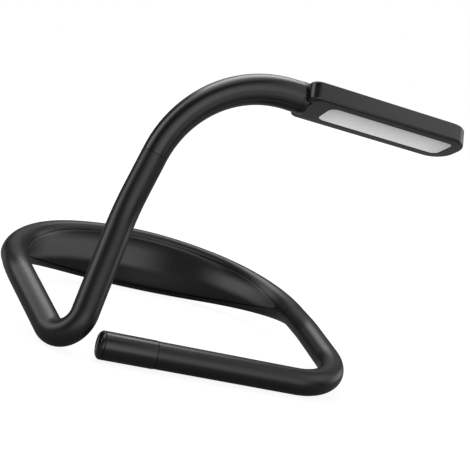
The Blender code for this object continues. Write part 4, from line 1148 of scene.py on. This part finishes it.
def make_housing():
    top = -HEAD_HALF - HEAD_CROWN
    slope = HEAD_CROWN_SLOPE - HEAD_EDGE
    rows = [(top, HEAD_CROWN_SLOPE + inset) for inset in HEAD_CROWN_RINGS]
    rows += [(top + HEAD_CROWN * share**2, HEAD_CROWN_SLOPE - slope * share) for share in HEAD_CROWN_SHARES]
    round_edge = arc(0, 0, HEAD_EDGE, 180, 270, CORNER_STEPS)
    rows += [(-HEAD_HALF + HEAD_EDGE + y, HEAD_EDGE + x) for y, x in round_edge]
    rows += [(HEAD_HALF - RIM_SEAM, 0), (HEAD_HALF, RIM_SEAM)]
    rows = [(height, head_outline(inset)) for height, inset in rows]
    rows += [(HEAD_HALF, room_outline(0)), (CEILING, room_outline(0))]
    housing = stacked("head_casing", head_middle, rows)
    tools = [cut_notch(housing)]
    start = ahead(arm_end, SWIVEL_GAP - CUT_PAST)
    hole = circle(PIN_RADIUS + GAP)
    tools.append(cutter(housing, stepped("pin_hole", start, [(hole, 0), (hole, HEAD_WALL + 2 * CUT_PAST)])))
    for number in range(len(BUTTON_NAMES)):
        outline = button_outline(GAP / 2)
        heights = (top - CUT_PAST, CEILING + CUT_PAST)
        hole = stacked("hole_%d" % number, button_place(number), [(height, outline) for height in heights])
        tools.append(cutter(housing, hole))
    dress_cut(housing, tools, "head", casing, "casing", ("head_housing",), HOUSING_EDGE_TURN)


def make_bezel():
    start = HEAD_HALF + RIM_SEAM
    crest = HEAD_HALF + RIM_RISE
    rows = [(start, head_outline(RIM_SEAM)), (start + RIM_SEAM, head_outline(0))]
    for angle in np.linspace(0, QUARTER * RIM_EDGE_SHARE, RIM_EDGE_POINTS)[1:]:
        height = start + RIM_SEAM + RIM_EDGE * math.sin(angle)
        rows.append((height, head_outline(RIM_EDGE * (1 - math.cos(angle)))))
    first_height, first_outline = rows[-1]
    opening = window_outline(0)
    for share in RIM_RINGS:
        outline = between(share, first_outline, opening)
        rows.append((first_height + (crest - first_height) * share, outline))
    rows += [(crest, window_outline(WINDOW_EDGE)), (crest - WINDOW_EDGE, opening), (BEZEL_BACK, opening)]
    rows += [(BEZEL_BACK, room_outline(GAP)), (start, room_outline(GAP))]
    bezel = stacked("window_frame", head_middle, rows, round_again=True)
    dress_cut(bezel, [cut_notch(bezel)], "head", casing, "casing", ("head_bezel",), RIM_EDGE_TURN)


def make_diffuser():
    shoulder = DIFFUSER_BACK + DIFFUSER_FLANGE
    front = HEAD_HALF + RIM_RISE - DIFFUSER_RECESS
    rows = [(DIFFUSER_BACK, BEZEL_FLANGE), (shoulder, BEZEL_FLANGE), (shoulder, -WINDOW_SEAM)]
    rows += [(front - DIFFUSER_EDGE, -WINDOW_SEAM), (front, -WINDOW_SEAM - DIFFUSER_EDGE)]
    rows += [(front, -WINDOW_SEAM - DIFFUSER_FACE_RING)]
    plate = stacked("opal_plate", head_middle, [(height, window_outline(growth)) for height, growth in rows])
    dress(plate, "head", opal, "diffuser", ("diffuser",))


def make_button(number, name):
    place = button_place(number)
    top = -HEAD_HALF - HEAD_CROWN - BUTTON_PROUD
    flange_top = CEILING + GAP
    rows = [(top + sink, growth) for sink, growth in BUTTON_TOP]
    rows += [(top + BUTTON_EDGE + y, x - BUTTON_EDGE) for y, x in arc(0, 0, BUTTON_EDGE, 180, 90)]
    rows += [(flange_top, 0.0), (flange_top, BUTTON_FLANGE), (flange_top + BUTTON_FLANGE, BUTTON_FLANGE)]
    marks = [stacked(name + "_cap", place, [(height, button_outline(growth)) for height, growth in rows])]
    rings = [(DOT_RADIUS, top + DOT_SINK), (DOT_RADIUS, top), *dome(DOT_RADIUS, top, -DOT_RISE)]
    rows = [(height, circle(radius, DOT_SIDES)) for radius, height in rings]
    for mark in range(number + 1):
        marks.append(stacked("mark", ahead(place, (mark - number / 2) * DOT_PITCH), rows))
    dress(joined(name + "_key", marks), name + "_button", button_rubber, "pad", (name + "_button",))


# Charging pod
def make_pod():
    round_edge = arc(POD_RADIUS - POD_EDGE, POD_EDGE, POD_EDGE, -90, 0)
    profile = [(SOCKET_RADIUS, 0), *round_edge]
    profile += [(POD_RADIUS, POD_LENGTH - POD_CHAMFER), (POD_RADIUS - POD_CHAMFER, POD_LENGTH)]
    room = POD_RADIUS - POD_WALL
    profile += [(room, POD_LENGTH), (room, SHOULDER_END), (SHOULDER_BORE, SHOULDER_END)]
    profile += [(SHOULDER_BORE, SOCKET_FLOOR), (SOCKET_RADIUS, SOCKET_FLOOR)]
    dress(turned("pod_casing", pod_place, profile), "pod", casing, "casing", ("pod_shell",))

    spigot = room - GAP
    spigot_end = CAP_START - CAP_SPIGOT_LENGTH
    start = POD_LENGTH + CAP_SEAM
    profile = [(spigot, spigot_end), (spigot, start)]
    profile += [(POD_RADIUS - POD_CHAMFER, start), (POD_RADIUS, start + POD_CHAMFER)]
    for x, y in arc(0, 0, 1, 0, 90, CAP_STEPS):
        profile.append((POD_RADIUS - CAP_EDGE_ACROSS * (1 - x), CAP_END - CAP_EDGE_ALONG * (1 - y)))
    cap = turned("pod_end", pod_place, profile, bored=False)
    light = pod_place @ Matrix.Translation((LIGHT_PLACE, 0, 0))
    holes = (
        ("inlet_slot", pod_place, oval(INLET_WIDTH + GAP, INLET_HEIGHT + GAP)),
        ("light_hole", light, circle(LIGHT_RADIUS + GAP / 2, LIGHT_SIDES)),
    )
    ends = (spigot_end - CUT_PAST, CAP_END + CUT_PAST)
    tools = []
    for name, place, hole in holes:
        tools.append(cutter(cap, stepped(name, place, [(hole, along) for along in ends])))
    dress_cut(cap, tools, "pod", casing, "casing", ("end_cap",))

    brim = CAP_END - LIGHT_SINK
    rings = [(LIGHT_RADIUS, spigot_end), (LIGHT_RADIUS, brim), *dome(LIGHT_RADIUS, brim, LIGHT_RISE)]
    lens = stepped("charge_lens", light, [(circle(radius, LIGHT_SIDES), along) for radius, along in rings])
    dress(lens, "pod", opal, "diffuser", ("charge_light",))


def oval(width, height, growth=0.0):
    return rounded_rectangle(height + growth, width + growth, (height + growth) / 2)


def make_inlet():
    front = CAP_END - INLET_SINK
    back = front - INLET_LENGTH
    outside = (INLET_WIDTH, INLET_HEIGHT)
    inside = (INLET_WIDTH - 2 * INLET_WALL, INLET_HEIGHT - 2 * INLET_WALL)
    brim = front - INLET_EDGE
    rows = [(oval(*outside), back), (oval(*outside), brim), (oval(*outside, -INLET_EDGE), front)]
    rows += [(oval(*inside, INLET_EDGE), front), (oval(*inside), brim), (oval(*inside), back + INLET_FLOOR)]
    shell = stepped("inlet_shell", pod_place, rows)
    dress(shell, "pod", bright_steel, "steel", ("charge_inlet",))

    tongue = (TONGUE_WIDTH, TONGUE_THICKNESS)
    tip = front - TONGUE_SHORT
    rows = [(oval(*tongue), back + TONGUE_ROOT), (oval(*tongue), tip - INLET_EDGE)]
    rows += [(oval(*tongue, -2 * INLET_EDGE), tip)]
    dress(stepped("inlet_tongue", pod_place, rows), "pod", switch_plastic, "switch")

    contacts = []
    thickness, width, length = CONTACT_SIZE
    outline = rounded_rectangle(thickness, width, thickness / 4, 2)
    rows = [(outline, tip - INLET_EDGE - length), (outline, tip - INLET_EDGE)]
    for side in (-1, 1):
        height = side * (TONGUE_THICKNESS / 2 + thickness / 2 - CONTACT_SINK)
        for number in range(CONTACTS_A_SIDE):
            across = (number - (CONTACTS_A_SIDE - 1) / 2) * CONTACT_PITCH
            contacts.append(stepped("contact", pod_place @ Matrix.Translation((height, across, 0)), rows))
    dress(joined("inlet_contacts", contacts), "pod", gold, "steel")


# Stage
FLOOR_RADIUS = 6.0
FLOOR_SIDES = 96
FLOOR_TONE = 0.18
FLOOR_ROUGHNESS = 0.9
FLOOR_SHINE = 0.1
FLOOR_FADE = (0.15, 0.60)
FLOOR_GLOW = (0.90, 1.0)
FLOOR_FRONT = (-0.324, -0.946, 0.0)
FLOOR_MIRROR = ((0.10, 0.36), (0.08, 0.80))
STUDIO_FILL = 0.65
STUDIO_DARK = 0.06

# Each soft box: its name, where it stands, what it looks at, its size and its power
LIGHT_MIDDLE = (-0.02, 0.0, 0.06)
SOFT_BOXES = (
    ("soft_top", (-0.15, 0.34, 0.88), LIGHT_MIDDLE, (1.1, 0.5), 2.0),
    ("soft_above", (-0.01, 0.17, 0.42), (-0.02, 0.02, 0.15), (0.34, 0.22), 0.6),
    ("soft_left", (-0.86, 0.24, 0.58), LIGHT_MIDDLE, (0.45, 0.8), 1.4),
)

# What shiny surfaces mirror. Each soft screen: its compass turn from straight behind, its height,
# the turns from its middle at which it is full and gone, and its strength
SCREENS = (
    (165.0, 30.0, 10.0, 34.0, 0.85),
    (-172.0, 4.0, 10.0, 46.0, 1.15),
    (80.0, 3.0, 5.0, 26.0, 1.80),
    (110.0, 46.0, 10.0, 32.0, 1.25),
    (0.0, 35.0, 5.0, 28.0, 0.35),
    (-75.0, 26.0, 6.0, 26.0, 1.15),
    (45.0, 35.0, 5.0, 25.0, 0.40),
    (-40.0, 76.0, 10.0, 32.0, 1.30),
)

CAMERA_SPOT = (-0.16567, -0.48442, 0.15122)
CAMERA_TURN = (79.8342, -15.2888, -17.1831)
CAMERA_LENS = 70.0
CAMERA_SENSOR = 36.0
CAMERA_NEAR = 0.01


def make_floor():
    """A pale floor that keeps the light's shadow, and that shiny surfaces mirror darker farther back."""
    mesh = bpy.data.meshes.new("floor")
    shape = bmesh.new()
    bmesh.ops.create_circle(shape, cap_ends=True, radius=FLOOR_RADIUS, segments=FLOOR_SIDES)
    shape.to_mesh(mesh)
    shape.free()
    floor = new_object("floor", mesh)
    material, tree, shader, at = new_material("pale_floor")
    tree.fill(shader, {"Base Color": (FLOOR_TONE, FLOOR_TONE, FLOOR_TONE, 1.0)})
    tree.fill(shader, {"Roughness": FLOOR_ROUGHNESS, "Specular IOR Level": FLOOR_SHINE})
    path = tree.node("ShaderNodeLightPath").outputs
    seen = tree.maths("MAXIMUM", path["Is Camera Ray"], path["Is Transmission Ray"])
    mirrored = ranged(tree, tree.vector("DOT_PRODUCT", at, FLOOR_FRONT), *FLOOR_MIRROR[0], *FLOOR_MIRROR[1])
    seen = tree.maths("MAXIMUM", seen, tree.maths("MULTIPLY", path["Is Glossy Ray"], mirrored))
    away = ranged(tree, tree.vector("LENGTH", at), *FLOOR_FADE, *FLOOR_GLOW)
    tree.fill(shader, {"Emission Color": WHITE, "Emission Strength": tree.maths("MULTIPLY", seen, away)})
    mesh.materials.append(material)


def soft_box(name, spot, target, size, power):
    light = bpy.data.lights.new(name, "AREA")
    light.shape = "RECTANGLE"
    light.size, light.size_y = size
    light.energy = power
    turn = (Vector(target) - Vector(spot)).to_track_quat("-Z", "Y")
    new_object(name, light).matrix_world = Matrix.Translation(spot) @ turn.to_matrix().to_4x4()


def direction(turn, height):
    around = Matrix.Rotation(math.radians(-turn), 3, "Z")
    return around @ Matrix.Rotation(math.radians(height), 3, "X") @ Vector((0, 1, 0))


def make_lights():
    """Soft boxes, an even fill, and soft screens that only shiny surfaces mirror."""
    for box in SOFT_BOXES:
        soft_box(*box)
    world = bpy.data.worlds.new("studio")
    bpy.context.scene.world = world
    world.use_nodes = True
    world.node_tree.nodes.clear()
    tree = Tree(world.node_tree)
    path = tree.node("ShaderNodeLightPath").outputs
    way = tree.node("ShaderNodeTexCoord").outputs["Generated"]
    mirrored = STUDIO_DARK
    for turn, height, full, gone, strength in SCREENS:
        near = tree.vector("DOT_PRODUCT", way, direction(turn, height))
        reach = [math.cos(math.radians(degrees)) for degrees in (gone, full)]
        mirrored = tree.maths("ADD", mirrored, ranged(tree, near, *reach, 0.0, strength))
    clear = tree.maths("MAXIMUM", path["Is Camera Ray"], path["Is Transmission Ray"])
    given = tree.node("ShaderNodeMix", {"Factor": path["Is Glossy Ray"], "A": STUDIO_FILL, "B": mirrored})
    strength = tree.maths("MAXIMUM", clear, given.outputs["Result"])
    back = tree.node("ShaderNodeBackground", {"Color": WHITE, "Strength": strength})
    tree.node("ShaderNodeOutputWorld", {"Surface": back.outputs[0]})


def make_camera():
    camera = bpy.data.cameras.new("camera")
    camera.lens = CAMERA_LENS
    camera.sensor_width = CAMERA_SENSOR
    camera.clip_start = CAMERA_NEAR
    obj = new_object("camera", camera)
    obj.location = CAMERA_SPOT
    obj.rotation_euler = [math.radians(degrees) for degrees in CAMERA_TURN]
    bpy.context.scene.camera = obj


make_camera()
make_floor()
make_lights()
dress_inner_nodes()
make_band()
make_lining()
make_arms()
make_upper_arm()
make_collar()
make_housing()
make_bezel()
make_diffuser()
for number, name in enumerate(BUTTON_NAMES):
    make_button(number, name)
make_pod()
make_inlet()

bpy.context.scene.view_settings.view_transform = "Standard"
